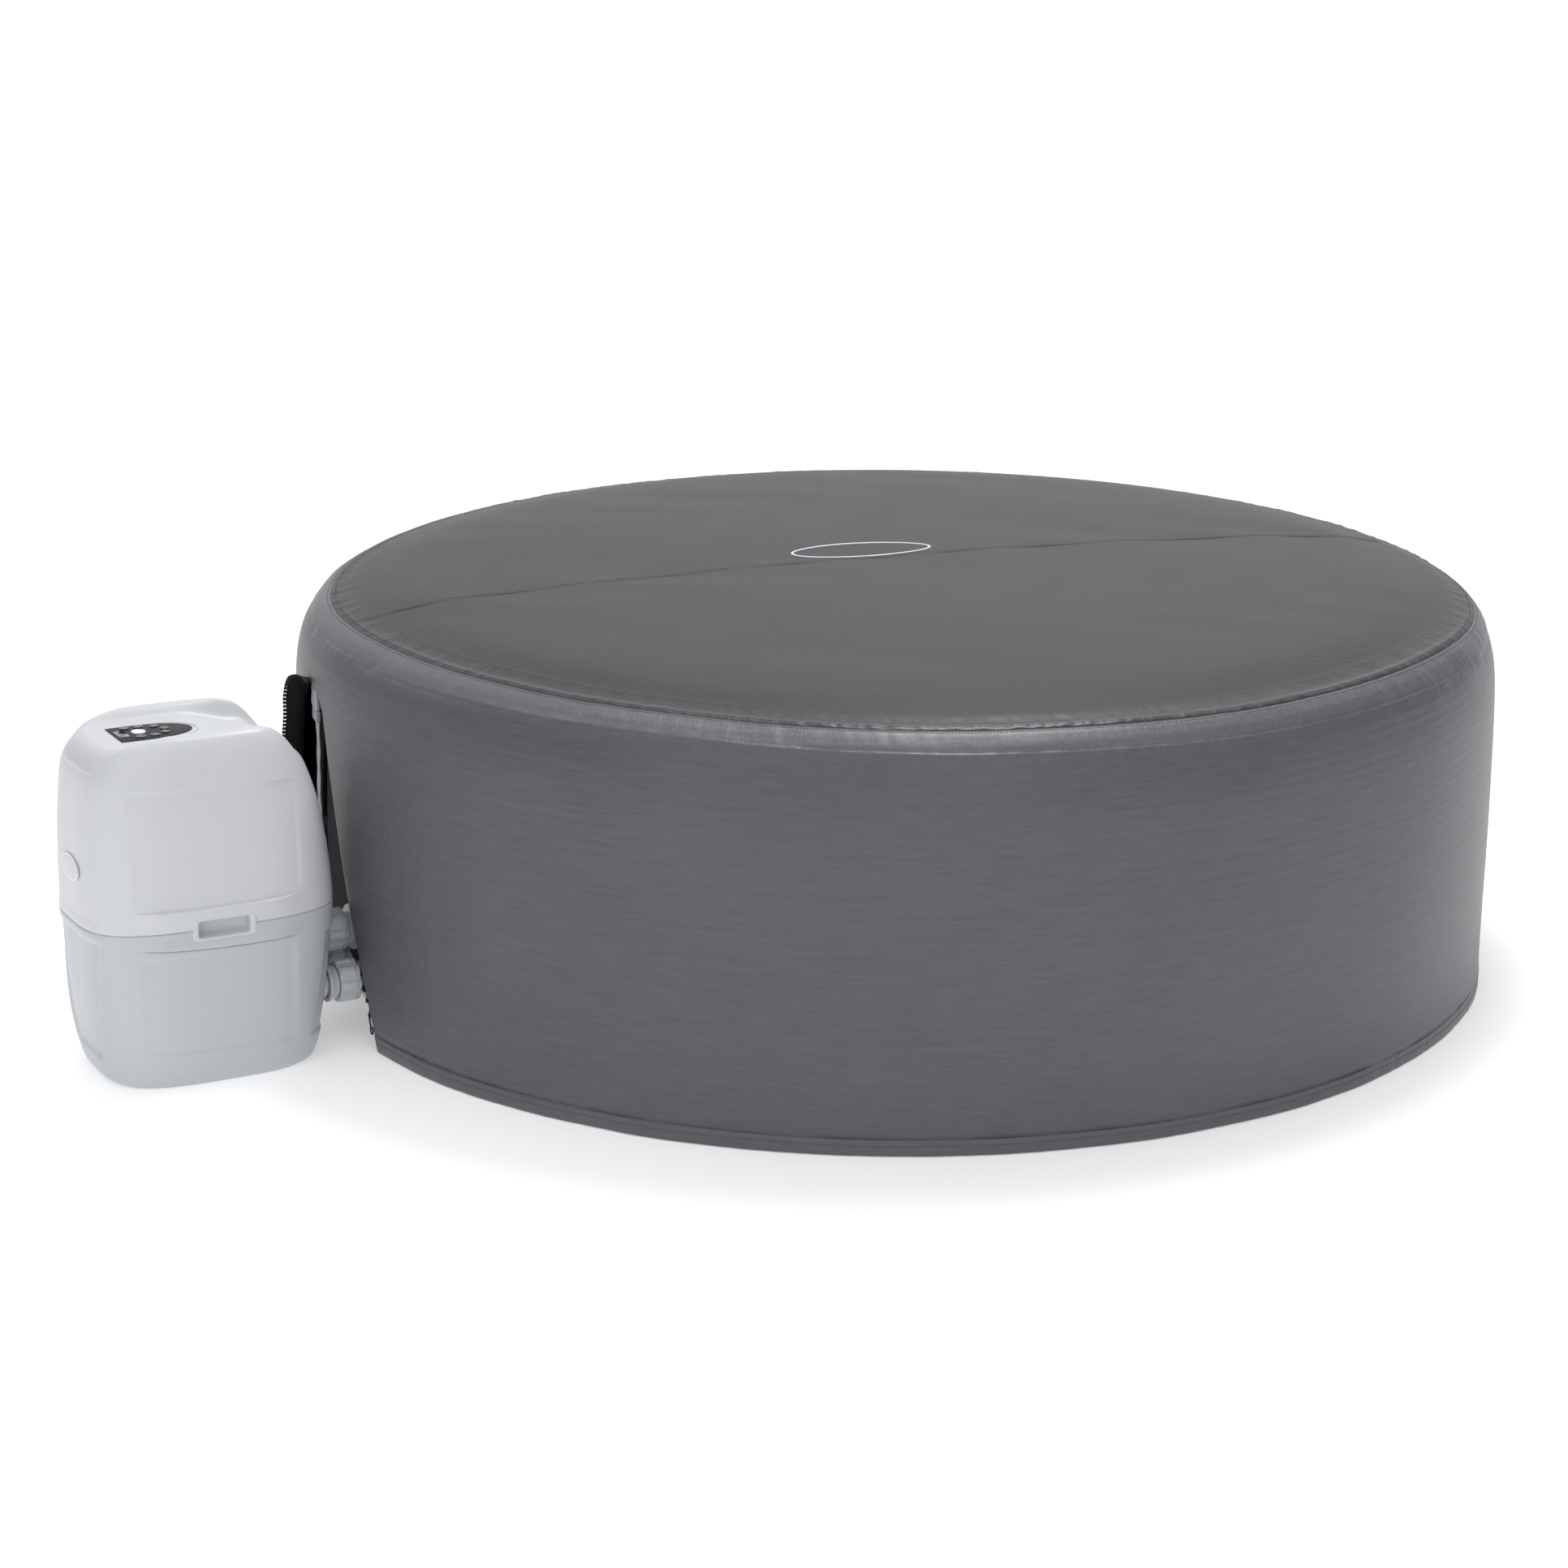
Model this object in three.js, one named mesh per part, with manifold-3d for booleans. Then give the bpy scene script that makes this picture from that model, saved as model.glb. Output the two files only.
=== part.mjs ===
// Round inflatable hot tub with a fitted full-height cover and an egg-shaped pump and heater unit.
// Millimetres, +Z up, ground at z = 0. The origin is the centre of the tub's underside.
// The pump stands on the -X side. "psi" is an azimuth in degrees, counter-clockwise from +X.
import * as THREE from 'three';
import { mergeVertices } from 'three/addons/utils/BufferGeometryUtils.js';
import Module from 'manifold-3d';

const wasm = await Module();
wasm.setup();

// ---------------------------------------------------------------- driving dimensions
const SEG = 48;                 // facets round the tub
const GAP = 0.3;                // clearance between pieces that touch

const R_COVER = 980;            // widest outer radius of the fitted cover
const Z_BULGE_LO = 250;         // the skirt reaches its full radius here
const Z_BULGE_HI = 470;         // and starts to turn in to the shoulder here
const R_HEM = 973;              // outer radius of the skirt at the ground
const R_SEAM = 914, Z_SEAM = 626;   // perimeter welt between skirt and top
const R_CREASE = 890, Z_CREASE = 621;   // dip beside the welt, at the lid's edge
const R_LID_TOP = 790, Z_LID_TOP = 648; // top of the inflated lid's rounded edge
const Z_DOME = 672;             // highest point of the cover
const T_FABRIC = 3;             // coated fabric with its lining
const FOLD_DEG = -8;           // direction of the seam across the top
const WELT_R = 4;               // welt section radius
const HEM_TOP = 27;             // top of the hem band

const WALL_MID = 830, WALL_HALF = 125;  // inflated wall: middle radius and half thickness
const WALL_Z = 300;             // half of the wall's height
const WALL_N = 2.8;             // roundness of the wall's section
const WALL_T = 3;               // wall skin
const FLOOR_R = 765, FLOOR_T = 15;

const PORT_A = [-34, 100], PORT_B = [95, 100], PORT_C = [17, 168]; // y, z of outlet, inlet, air
const PORT_R = 23;              // outer radius of the port pipes

const PUMP_X = -1215;           // pump axis
const PUMP_A = 200, PUMP_B = 140;       // half depth and half width at the main seam
const PUMP_N = 3.5;             // squareness of the plan section
const PUMP_SEAM = 252;          // height of the joint between the shells
const PUMP_H = 543;             // height of the side lips
const PUMP_T = 3.2;             // moulded shell thickness
const HANDLE = { x: -4, z: 252, w: 101, h: 45, d: 22 };
const GLAND = { x: -110, z: 60 };      // power cord entry, low on the far side of the pump

// opening in the skirt for the pump pipes, as y and z of its edge; the near edge is straight
const EDGE_Y = (z) => -100 + (z - 30) * 0.36;
const OPENING = [[EDGE_Y(-20), -20], [EDGE_Y(500), 500], [100, 523], [155, 535], [190, 530], [205, 515], [300, 30], [310, -20]];
const EDGE_DIR = new THREE.Vector3(0, 0.36, 1).normalize();

// ---------------------------------------------------------------- helpers
const sgnpow = (v, e) => Math.sign(v) * Math.pow(Math.abs(v), e);
const rad = (d) => d * Math.PI / 180;
const clamp01 = (t) => Math.min(1, Math.max(0, t));
const smooth = (a, b, t) => { const u = clamp01((t - a) / (b - a)); return u * u * (3 - 2 * u); };

function clean(geo) {
  let g = geo.clone();
  for (const k of ['normal', 'uv']) g.deleteAttribute(k);
  g = mergeVertices(g, 1e-3);
  const p = g.attributes.position, ix = g.index.array, keep = [];
  let vol = 0;
  const a = new THREE.Vector3(), b = new THREE.Vector3(), c = new THREE.Vector3();
  for (let i = 0; i < ix.length; i += 3) {
    if (ix[i] === ix[i + 1] || ix[i + 1] === ix[i + 2] || ix[i] === ix[i + 2]) continue;
    keep.push(ix[i], ix[i + 1], ix[i + 2]);
    a.fromBufferAttribute(p, ix[i]); b.fromBufferAttribute(p, ix[i + 1]); c.fromBufferAttribute(p, ix[i + 2]);
    vol += a.dot(b.cross(c));
  }
  if (vol < 0) for (let i = 0; i < keep.length; i += 3) { const t = keep[i]; keep[i] = keep[i + 1]; keep[i + 1] = t; }
  g.setIndex(keep);
  return g;
}
const solid = (geo) => {
  const g = clean(geo);
  return new wasm.Manifold(new wasm.Mesh({ numProp: 3, vertProperties: new Float32Array(g.attributes.position.array), triVerts: new Uint32Array(g.index.array) }));
};
const geoOf = (man) => {
  const m = man.getMesh(), g = new THREE.BufferGeometry();
  g.setAttribute('position', new THREE.BufferAttribute(new Float32Array(m.vertProperties), 3));
  g.setIndex([...m.triVerts]);
  return g;
};
const cut = (geo, ...tools) => geoOf(tools.reduce((s, t) => s.subtract(solid(t)), solid(geo)));
const join = (geo, ...more) => geoOf(more.reduce((s, t) => s.add(solid(t)), solid(geo)));
const keepIn = (geo, tool) => geoOf(solid(geo).intersect(solid(tool)));

const lathe = (pts, seg = 32) => new THREE.LatheGeometry(pts.map(([r, z]) => new THREE.Vector2(r, z)), seg).rotateX(Math.PI / 2);
const ring = (pts, seg = 32) => lathe([...pts, pts[0]], seg);
const cyl = (r, z0, z1, seg = 16) => lathe([[0, z0], [r, z0], [r, z1], [0, z1]], seg);
const pipe = (r0, r1, z0, z1, seg = 16) => ring([[r0, z0], [r1, z0], [r1, z1], [r0, z1]], seg);
const box = (x0, y0, z0, x1, y1, z1) => new THREE.BoxGeometry(x1 - x0, y1 - y0, z1 - z0).translate((x0 + x1) / 2, (y0 + y1) / 2, (z0 + z1) / 2);
// own +Z turned to world -X, then moved
const toMinusX = (g, x, y, z) => g.rotateY(-Math.PI / 2).translate(x, y, z);
const toPlusX = (g, x, y, z) => g.rotateY(Math.PI / 2).translate(x, y, z);
const toPlusY = (g, x, y, z) => g.rotateX(-Math.PI / 2).translate(x, y, z);
// own +Z turned outwards along azimuth psi, own origin at radius r and height z
const outward = (g, psi, r, z) => g.rotateY(Math.PI / 2).rotateZ(rad(psi)).translate(r * Math.cos(rad(psi)), r * Math.sin(rad(psi)), z);
// polygon in Y-Z, extruded along X
function slabYZ(pts, x0, x1) {
  const s = new THREE.Shape(pts.map(([y, z]) => new THREE.Vector2(y, z)));
  return new THREE.ExtrudeGeometry(s, { depth: x1 - x0, bevelEnabled: false }).rotateX(Math.PI / 2).rotateZ(Math.PI / 2).translate(x0, 0, 0);
}
const roundRect = (w, h, r, n = 4) => {
  const pts = [];
  for (const [cx, cy, a0] of [[w / 2 - r, h / 2 - r, 0], [-w / 2 + r, h / 2 - r, 90], [-w / 2 + r, -h / 2 + r, 180], [w / 2 - r, -h / 2 + r, 270]])
    for (let i = 0; i <= n; i++) pts.push([cx + r * Math.cos(rad(a0 + 90 * i / n)), cy + r * Math.sin(rad(a0 + 90 * i / n))]);
  return pts;
};
const plate = (pts, t) => new THREE.ExtrudeGeometry(new THREE.Shape(pts.map(([x, y]) => new THREE.Vector2(x, y))), { depth: t, bevelEnabled: false });
// lofted body of super-elliptic sections: rows {z, a, b, ox, zf}; a row with a = 0 closes it
function loft(rows, seg = 32, n = PUMP_N) {
  const g = new THREE.LatheGeometry(rows.map((_, j) => new THREE.Vector2(j + 1, j)), seg);
  const p = g.attributes.position, N = rows.length;
  for (let i = 0; i <= seg; i++) {
    const f = (i % seg) / seg * 2 * Math.PI, c = Math.cos(f), s = Math.sin(f);
    rows.forEach((r, j) => {
      const x = r.a * sgnpow(c, 2 / n), y = r.b * sgnpow(s, 2 / n);
      p.setXYZ(i * N + j, (r.ox || 0) + x, y, r.zf ? r.zf(x + (r.ox || 0), y) : r.z);
    });
  }
  return g;
}

const root = new THREE.Group();
const mats = {};
const mat = (name, color, roughness, metalness = 0, extra = {}) => (mats[name] = { color, roughness, metalness, ...extra });
mat('cover', 0x5f6067, 0.5); mat('lining', 0x141416, 0.8); mat('tub', 0x55565c, 0.55); mat('liner', 0xb9c3c9, 0.45);
mat('shell', 0xc4c8cc, 0.42); mat('shell_low', 0xbcc0c4, 0.44); mat('fitting', 0xb4b8bc, 0.45); mat('black', 0x18191b, 0.4);
mat('zip', 0x121214, 0.55); mat('button', 0x2b2d30, 0.35); mat('white', 0xe8eaeb, 0.35); mat('steel', 0xa8abae, 0.3, 1);
mat('copper', 0xb87333, 0.35, 1); mat('pcb', 0x1d5a38, 0.6); mat('rubber', 0x1a1a1b, 0.8); mat('filter', 0xe6e7e4, 0.9);
mat('strap', 0xa9acb0, 0.7); mat('glass', 0x101316, 0.1); mat('print', 0xdfe1e2, 0.5);
function add(name, geo, m, parent = root) {
  const g = clean(geo);
  g.computeVertexNormals();
  const { color, roughness, metalness } = mats[m];
  const mesh = new THREE.Mesh(g, new THREE.MeshStandardMaterial({ color, roughness, metalness }));
  mesh.name = name;
  parent.add(mesh);
  return mesh;
}

// ---------------------------------------------------------------- cover profile
// outer line of the skirt, from the hem up to the welt
function skirtLine(z0, z1, off = 0) {
  const pts = [];
  for (const z of [z0, 130, Z_BULGE_LO, Z_BULGE_HI]) {
    if (z < z0 || z > z1) continue;
    const t = clamp01(z / Z_BULGE_LO);
    pts.push([R_HEM + (R_COVER - R_HEM) * Math.sin(t * Math.PI / 2) - off, z]);
  }
  for (let i = 1; i <= 4; i++) {
    const t = rad(90 * i / 4 * 0.93);
    const z = Z_BULGE_HI + (Z_SEAM - Z_BULGE_HI) * Math.pow(Math.sin(t), 0.95);
    if (z > z1) { break; }
    pts.push([R_SEAM + (R_COVER - R_SEAM) * Math.pow(Math.cos(t), 0.95) - off * Math.pow(Math.cos(t), 0.5), z - off * Math.sin(t)]);
  }
  return pts;
}
// height of the cover's top at radius r
function topZ(r) {
  if (r >= R_CREASE) return Z_CREASE + (Z_SEAM - Z_CREASE) * (r - R_CREASE) / (R_SEAM - R_CREASE) * 0.8;
  if (r >= R_LID_TOP) return Z_CREASE + (Z_LID_TOP - Z_CREASE) * Math.sqrt(Math.max(0, 1 - ((r - R_LID_TOP) / (R_CREASE - R_LID_TOP)) ** 2));
  return Z_LID_TOP + (Z_DOME - Z_LID_TOP) * (1 - (r / R_LID_TOP) ** 2);
}

// ---------------------------------------------------------------- tub
const wallLine = (shrink, n) => {
  const pts = [];
  for (let i = 0; i < n; i++) {
    const f = (i + 0.5) / n * 2 * Math.PI;
    pts.push([WALL_MID + (WALL_HALF - shrink) * sgnpow(Math.cos(f), 2 / WALL_N), WALL_Z + (WALL_Z - shrink) * sgnpow(Math.sin(f), 2 / WALL_N)]);
  }
  return pts;
};
// lowest ring of points sits exactly on the ground
const wallOuter = wallLine(0, 12).map(([r, z]) => [r, Math.max(z, 0)]);
const zMin = Math.min(...wallOuter.map((q) => q[1])), zMax = Math.max(...wallOuter.map((q) => q[1]));
const fit = ([r, z]) => [r, (z - zMin) / (zMax - zMin) * 2 * WALL_Z];
const bore = (y, z, r) => toMinusX(cyl(r, 640, 1000, 16), 0, y, z);
const VALVE = { psi: 168.5, z: 262 }, DRAIN = { psi: 132, z: 170 };
const wallShell = cut(ring(wallOuter.map(fit), SEG), ring(wallLine(WALL_T, 12).map(([r, z]) => [r, Math.min(597, Math.max(3.2, (z - zMin) / (zMax - zMin) * 2 * WALL_Z))]), SEG),
  bore(...PORT_A, PORT_R + GAP), bore(...PORT_B, PORT_R + GAP), bore(...PORT_C, PORT_R + GAP),
  outward(cyl(14.4, 640, 1000, 16), DRAIN.psi, 0, DRAIN.z), outward(cyl(20.4, 900, 1000, 20), VALVE.psi, 0, VALVE.z));
add('tub_wall', wallShell, 'tub');
add('tub_floor', lathe([[0, 0], [FLOOR_R, 0], [742, FLOOR_T], [0, FLOOR_T]], SEG), 'liner');
add('air_jet_ring', ring([[712, 26], [731, 26], [722, 62], [706, 62]], SEG), 'liner');

// through-wall fittings, each a threaded pipe with an outer flange, and a clamp flange on the pool side
function port(tag, [y, z], xIn, f = 951) {
  const out = 985;
  const body = toMinusX(join(pipe(19, PORT_R, xIn, out, 16), pipe(PORT_R - 1, 36, f, f + 5, 16)), 0, y, z);
  add(`wall_fitting_${tag}`, body, 'fitting');
}
port('outlet', PORT_A, 672);
port('inlet', PORT_B, 676);
port('air', PORT_C, 696, 954.5);
add('return_jet_nozzle', toMinusX(cut(cyl(25.5, 652, 700, 16), cyl(PORT_R + GAP, 671, 701, 16), lathe([[0, 650], [15, 650], [11, 672], [0, 672]], 16)), 0, ...PORT_A), 'fitting');
// air duct from the air fitting down to the jet ring, a flat channel inside the pool wall
add('air_duct', cut(box(-704, PORT_C[0] - 25, 40, -676, PORT_C[0] + 25, 198), box(-699, PORT_C[0] - 22, 43, -679, PORT_C[0] + 22, 195),
  toMinusX(cyl(PORT_R + GAP, 690, 712, 16), 0, ...PORT_C), box(-710, PORT_C[0] - 12, 46, -690, PORT_C[0] + 12, 58),
  ring([[700, 20], [740, 20], [740, 64], [700, 64]], SEG)), 'fitting');

// filter: a housing over the inlet, with a pleated cartridge behind a cap
add('filter_housing', toMinusX(cut(cyl(50, 590, 686, 20), cyl(47, 580, 682, 20), cyl(PORT_R + GAP, 670, 705, 16)), 0, ...PORT_B), 'fitting');
const pleats = [];
for (let i = 0; i < 28; i++) { const f = i / 28 * 2 * Math.PI, r = i % 2 ? 44 : 39; pleats.push([r * Math.cos(f), r * Math.sin(f)]); }
add('filter_cartridge', toMinusX(cut(plate(pleats, 70).translate(0, 0, 601), cyl(18, 590, 690, 16)), 0, ...PORT_B), 'filter');
add('filter_cap', toMinusX(join(cyl(50, 580, 589.6, 20), cyl(45, 589, 600.6, 20), box(-28, -5, 572, 28, 5, 581)), 0, ...PORT_B), 'fitting');

// air valve and drain valve with their caps
const atValve = (g) => outward(g, VALVE.psi, 0, VALVE.z), atDrain = (g) => outward(g, DRAIN.psi, 0, DRAIN.z);
add('air_valve', atValve(join(pipe(15, 20, 925, 957, 20), pipe(18, 27, 956.5, 959.5, 20))), 'fitting');
add('air_valve_cap', atValve(join(cyl(24, 960, 968, 16), cyl(14.5, 950, 961, 16))), 'fitting');
add('drain_valve', atDrain(join(pipe(10, 14, 696, 957, 16), pipe(12, 20, 955.6, 958.6, 16))), 'fitting');
add('drain_cap', atDrain(join(cyl(17, 959, 967, 16), cyl(9.5, 948, 960, 16))), 'fitting');

// ---------------------------------------------------------------- cover
const fold = (side) => {
  // half space on one side of the seam across the top
  const g = side > 0 ? box(-1100, -1100, 500, 1100, 0.15, 800) : box(-1100, -0.15, 500, 1100, 1100, 800);
  return g.rotateZ(rad(FOLD_DEG));
};
const topLine = [];
for (const r of [0, 400, 660, 790, 850, 882, 890, 908.8]) topLine.push([r, topZ(r)]);
const topSheet = () => lathe([...topLine, [908.8, topZ(908.8) - T_FABRIC], [888, Z_CREASE - T_FABRIC], ...topLine.slice(2, 6).reverse().map(([r, z]) => [r - (r > 780 ? 1.5 : 0), z - T_FABRIC]), [0, Z_DOME - T_FABRIC]], SEG);
add('cover_top_back', cut(topSheet(), fold(1)), 'cover');
add('cover_top_front', cut(topSheet(), fold(-1)), 'cover');
// inflated lid in the pocket under the top
const lidOut = [[0, 604], [840, 604], [875, 611], [868, topZ(870) - 9], [835, topZ(835) - 7.5], [780, topZ(790) - 6.5], [480, topZ(480) - 6.5], [0, Z_DOME - 5]];
const lidIn = [[0, 606.5], [836, 606.5], [866, 613], [828, topZ(835) - 11], [776, topZ(790) - 9.5], [0, Z_DOME - 12]];
add('inflated_lid', cut(lathe(lidOut, SEG), lathe(lidIn, SEG), cyl(16.3, 595, 620, 16).translate(-430, 60, 0)), 'liner');
add('lid_air_plug', join(cyl(16, 600, 612, 16), cyl(20, 600, 603.6, 16)).translate(-430, 60, 0), 'fitting');
add('perimeter_welt', lathe([...Array(6)].map((_, i) => [R_SEAM + 0.3 + WELT_R * Math.cos(i / 5 * 2 * Math.PI), Z_SEAM + 1.2 + WELT_R * Math.sin(i / 5 * 2 * Math.PI)]), SEG), 'cover');
const opening = (grow = 0) => slabYZ(OPENING.map(([y, z]) => [y + (y < 150 ? -grow : grow), z + (z > 500 ? grow : 0)]), -1100, -500);
const skirtOuter = skirtLine(HEM_TOP + GAP, 621), skirtInner = skirtLine(HEM_TOP + GAP, 621, T_FABRIC);
add('skirt', cut(ring([...skirtOuter, ...skirtInner.reverse()], SEG), opening()), 'cover');
add('hem_binding', cut(ring([[R_HEM - 6, 2], [R_HEM + 2, 2], [R_HEM + 4, HEM_TOP], [R_HEM - 3.5, HEM_TOP]], SEG), opening()), 'cover');
// zip tapes: strips inside the skirt along both edges of the opening
// the near tape is a straight strip: own +Z up the edge, +Y across it into the opening, X through its thickness
const SL = { z: 58, r: 966, lean: 0.0135 };
SL.y = EDGE_Y(SL.z); SL.x = -Math.sqrt(SL.r ** 2 - SL.y ** 2);
const alongEdge = (g) => g.rotateX(-Math.atan(0.36)).rotateY(-SL.lean).translate(SL.x, SL.y, SL.z);
const tapeShell = () => ring([...skirtLine(30, 560, T_FABRIC + 0.8), ...skirtLine(30, 560, T_FABRIC + 3).reverse()], SEG);
const farTape = [[151, 533], [151, 549], [200, 548], [222, 520], [317, 30], [289, 30], [196, 508], [184, 522]];
add('near_zip_tape', alongEdge(box(-1.1, -9, -26, 1.1, 8, 438)), 'zip');
add('far_zip_tape', keepIn(tapeShell(), slabYZ(farTape, -1100, -500)), 'zip');
// two-way strap and side-release buckle between cover and wall
const STRAP_PSI = 169.6;
const atStrap = (g) => outward(g, STRAP_PSI, 0, 0);
// own frame: +Z outwards, +Y is world up after the turn, X is sideways
const up = (g) => g.rotateZ(Math.PI / 2);
const strapBox = (w, z0, z1, r0, r1) => atStrap(up(box(-w / 2, z0, r0, w / 2, z1, r1)));
add('cover_strap', strapBox(25, 521, 553, 961.2, 962.8), 'strap');
add('buckle_socket', atStrap(up(cut(join(box(-17.5, 482, 957.5, 17.5, 519, 966.5), box(-15.5, 518, 959, 15.5, 524.5, 965)), box(-14, 470, 960, 14, 511, 964), box(-12.9, 519.3, 960.9, 12.9, 530, 963.1)))), 'strap');
add('buckle_plug', atStrap(up(join(box(-16.5, 464, 958, 16.5, 481.5, 966), box(-13.4, 480, 960.4, -9.5, 505, 963.6), box(9.5, 480, 960.4, 13.4, 505, 963.6), box(-2.2, 480, 960.4, 2.2, 508, 963.6)))), 'strap');
add('tub_strap', strapBox(25, 330, 463.6, 959.5, 961), 'strap');

// zip slider and its pull, on the near tape just above the hem
add('zip_slider', alongEdge(cut(box(-4.6, 0.5, -10, 4.6, 15, 10), box(-1.9, -12, -11, 1.9, 9.5, 11))), 'zip');
add('zip_pull', alongEdge(join(box(-7.2, 5, -22, -5.7, 10.5, 5), pipe(3.2, 6.4, 0, 1.5, 14).rotateY(Math.PI / 2).translate(-7.2, 7.7, -26))), 'zip');
// blank oval print on the top, just behind the seam across it
const EMB = { x: -32, y: 56, a: 117, b: 46, deg: -12 };
const oval = (a, b, n = 28) => [...Array(n)].map((_, i) => [a * Math.cos(i / n * 2 * Math.PI), b * Math.sin(i / n * 2 * Math.PI)]);
add('oval_print', cut(plate(oval(EMB.a, EMB.b), 1.2), plate(oval(EMB.a - 4, EMB.b - 4), 4).translate(0, 0, -1))  .rotateZ(rad(EMB.deg)).translate(EMB.x, EMB.y, Z_DOME + 0.4), 'print');

// ---------------------------------------------------------------- pump
const pump = new THREE.Group();
pump.position.set(PUMP_X, 0, 0);
root.add(pump);
const P = (name, geo, m) => add(name, geo, m, pump);
// section scale with height: [z, depth, width, shift towards -X]
const LOW = [[0, 0.74, 0.76, -8], [7, 0.81, 0.83, -8], [24, 0.86, 0.87, -7], [60, 0.915, 0.922, -5], [130, 0.965, 0.968, -3], [PUMP_SEAM - GAP / 2, 1, 1, 0]];
const UPP = [[PUMP_SEAM + GAP / 2, 1, 1, 0], [350, 0.98, 0.985, -4], [420, 0.94, 0.955, -9], [480, 0.87, 0.91, -16], [520, 0.79, 0.85, -21], [538, 0.715, 0.79, -23], [PUMP_H, 0.66, 0.74, -24]];
const trough = (x, y) => -15 * (1 - smooth(66, 96, Math.abs(y))) - 9 * (1 - smooth(-150, -95, x));
const rows = (list, t = 0, dz = 0) => list.map(([z, sa, sb, ox]) => ({ z: z + dz, a: PUMP_A * sa - t, b: PUMP_B * sb - t, ox }));
const handleCut = (side) => plate(roundRect(HANDLE.w - 6, HANDLE.h - 6, 7), 60).rotateX(Math.PI / 2).translate(HANDLE.x, side > 0 ? PUMP_B + 30 : -PUMP_B + 30, HANDLE.z);
const portHole = ([y, z]) => toPlusX(cyl(PORT_R + GAP, 60, 260, 16), 0, y, z);
const lowOuter = rows(LOW), lowInner = rows(LOW.slice(2), PUMP_T).map((r, i) => (i === 0 ? { ...r, z: PUMP_T + 2, a: r.a - 8, b: r.b - 8 } : r));
lowInner[lowInner.length - 1].z = PUMP_SEAM - GAP / 2;
const lowShell = loft([{ z: 0, a: 0, b: 0, ox: -8 }, ...lowOuter, ...lowInner.reverse(), { z: PUMP_T + 2, a: 0, b: 0, ox: -8 }]);
P('pump_lower_shell', cut(lowShell, handleCut(1), handleCut(-1), portHole(PORT_A), portHole(PORT_B), portHole(PORT_C), toPlusY(cyl(11, 90, 180, 16), GLAND.x, 0, GLAND.z)), 'shell_low');
const capRow = (k, dz) => ({ a: PUMP_A * 0.66 * k, b: PUMP_B * 0.74 * k, ox: -24, zf: (x, y) => PUMP_H + dz + trough(x, y) * (k < 0.98 ? 1 : 0.0) });
const uppOuter = [...rows(UPP), capRow(0.93, 0), capRow(0.8, 0), capRow(0.66, 0), capRow(0.35, 0), { ...capRow(0.001, 0), a: 0, b: 0, zf: () => PUMP_H - 15 }];
const uppInner = [{ a: 0, b: 0, ox: -24, z: PUMP_H - 15 - PUMP_T }, capRow(0.35, -PUMP_T), capRow(0.66, -PUMP_T), capRow(0.8, -PUMP_T - 0.6), { ...capRow(0.9, -PUMP_T - 1) }, ...rows(UPP.slice(0, 5), PUMP_T + 0.4).reverse()];
uppInner[uppInner.length - 1].z = PUMP_SEAM + GAP / 2;
const PANEL = { x: -76, z: PUMP_H - 15 };
// control panel outline: flat at the outer end, rounded towards the tub
const panelPts = (() => {
  const q = [[-44, -41], [-10, -42]];
  for (let i = 1; i < 12; i++) q.push([16 + 63 * Math.sin(rad(180 * i / 12)) - 26 * Math.abs(Math.cos(rad(180 * i / 12))), -42 * Math.cos(rad(180 * i / 12))]);
  return [...q, [-10, 42], [-44, 41]];
})();
const panelSlot = plate(panelPts.map(([x, y]) => [x * 1.006, y * 1.008]), 20).translate(PANEL.x, 0, PANEL.z - 4.6);
const panelPocket = box(PANEL.x - 50, -46, PANEL.z - 20, PANEL.x + 84, 46, PANEL.z - 4.7);
P('pump_upper_shell', cut(loft([...uppInner, ...uppOuter]), handleCut(1), handleCut(-1), panelSlot), 'shell');
const BTN = [[-4, 2, 11, 12], [-9, -26, 8, 6.5], [14, -25, 8, 6.5], [33, -15, 6.5, 7], [38, 5, 6.5, 7.5], [27, 22, 7.5, 6.5], [4, 28, 8, 6.5], [-18, 28, 7.5, 6.5]];
const panelBody = cut(plate(panelPts, 5.4), ...BTN.map(([x, y, a, b]) => plate(oval(a + 0.4, b + 0.4, 12), 8).translate(x, y, -1)), plate(roundRect(17, 36, 2.5, 3), 3).translate(-31, 0, 4));
P('control_panel', panelBody.translate(PANEL.x, 0, PANEL.z - 4.6), 'black');
P('display_window', plate(roundRect(16.4, 35.4, 2.3, 3), 1.2).translate(PANEL.x - 31, 0, PANEL.z - 0.3), 'glass');
BTN.forEach(([x, y, a, b], i) => P(i === 0 ? 'jet_button' : `panel_button_${i}`, plate(oval(a, b, 12), 5.2).translate(PANEL.x + x, y, PANEL.z - 3.4), i === 0 ? 'white' : 'button'));
// lift grips, one on each side at the shell joint
const grip = (side) => {
  const g = cut(join(plate(roundRect(HANDLE.w - 7, HANDLE.h - 7, 6.5), HANDLE.d + 3).translate(0, 0, -HANDLE.d), plate(roundRect(HANDLE.w, HANDLE.h, 9), 3).translate(0, 0, 0.6)),
    plate(roundRect(HANDLE.w - 20, HANDLE.h - 20, 4), HANDLE.d + 4).translate(0, 0, -HANDLE.d + 3));
  g.rotateX(Math.PI / 2).rotateZ(side > 0 ? Math.PI : 0);
  return g.translate(HANDLE.x, side * (PUMP_B + 0.3), HANDLE.z);
};
P('grip_front', grip(-1), 'shell');
P('grip_back', grip(1), 'shell');
// blank oval badge on the outer face
P('oval_badge', plate(oval(40, 21, 24), 1.6).rotateY(-Math.PI / 2).rotateX(Math.PI / 2).translate(-PUMP_A - 0.2, -12, 338), 'print');

// ---- inside the pump
const M = (name, geo, m) => add(name, geo, m, pump);
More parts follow.
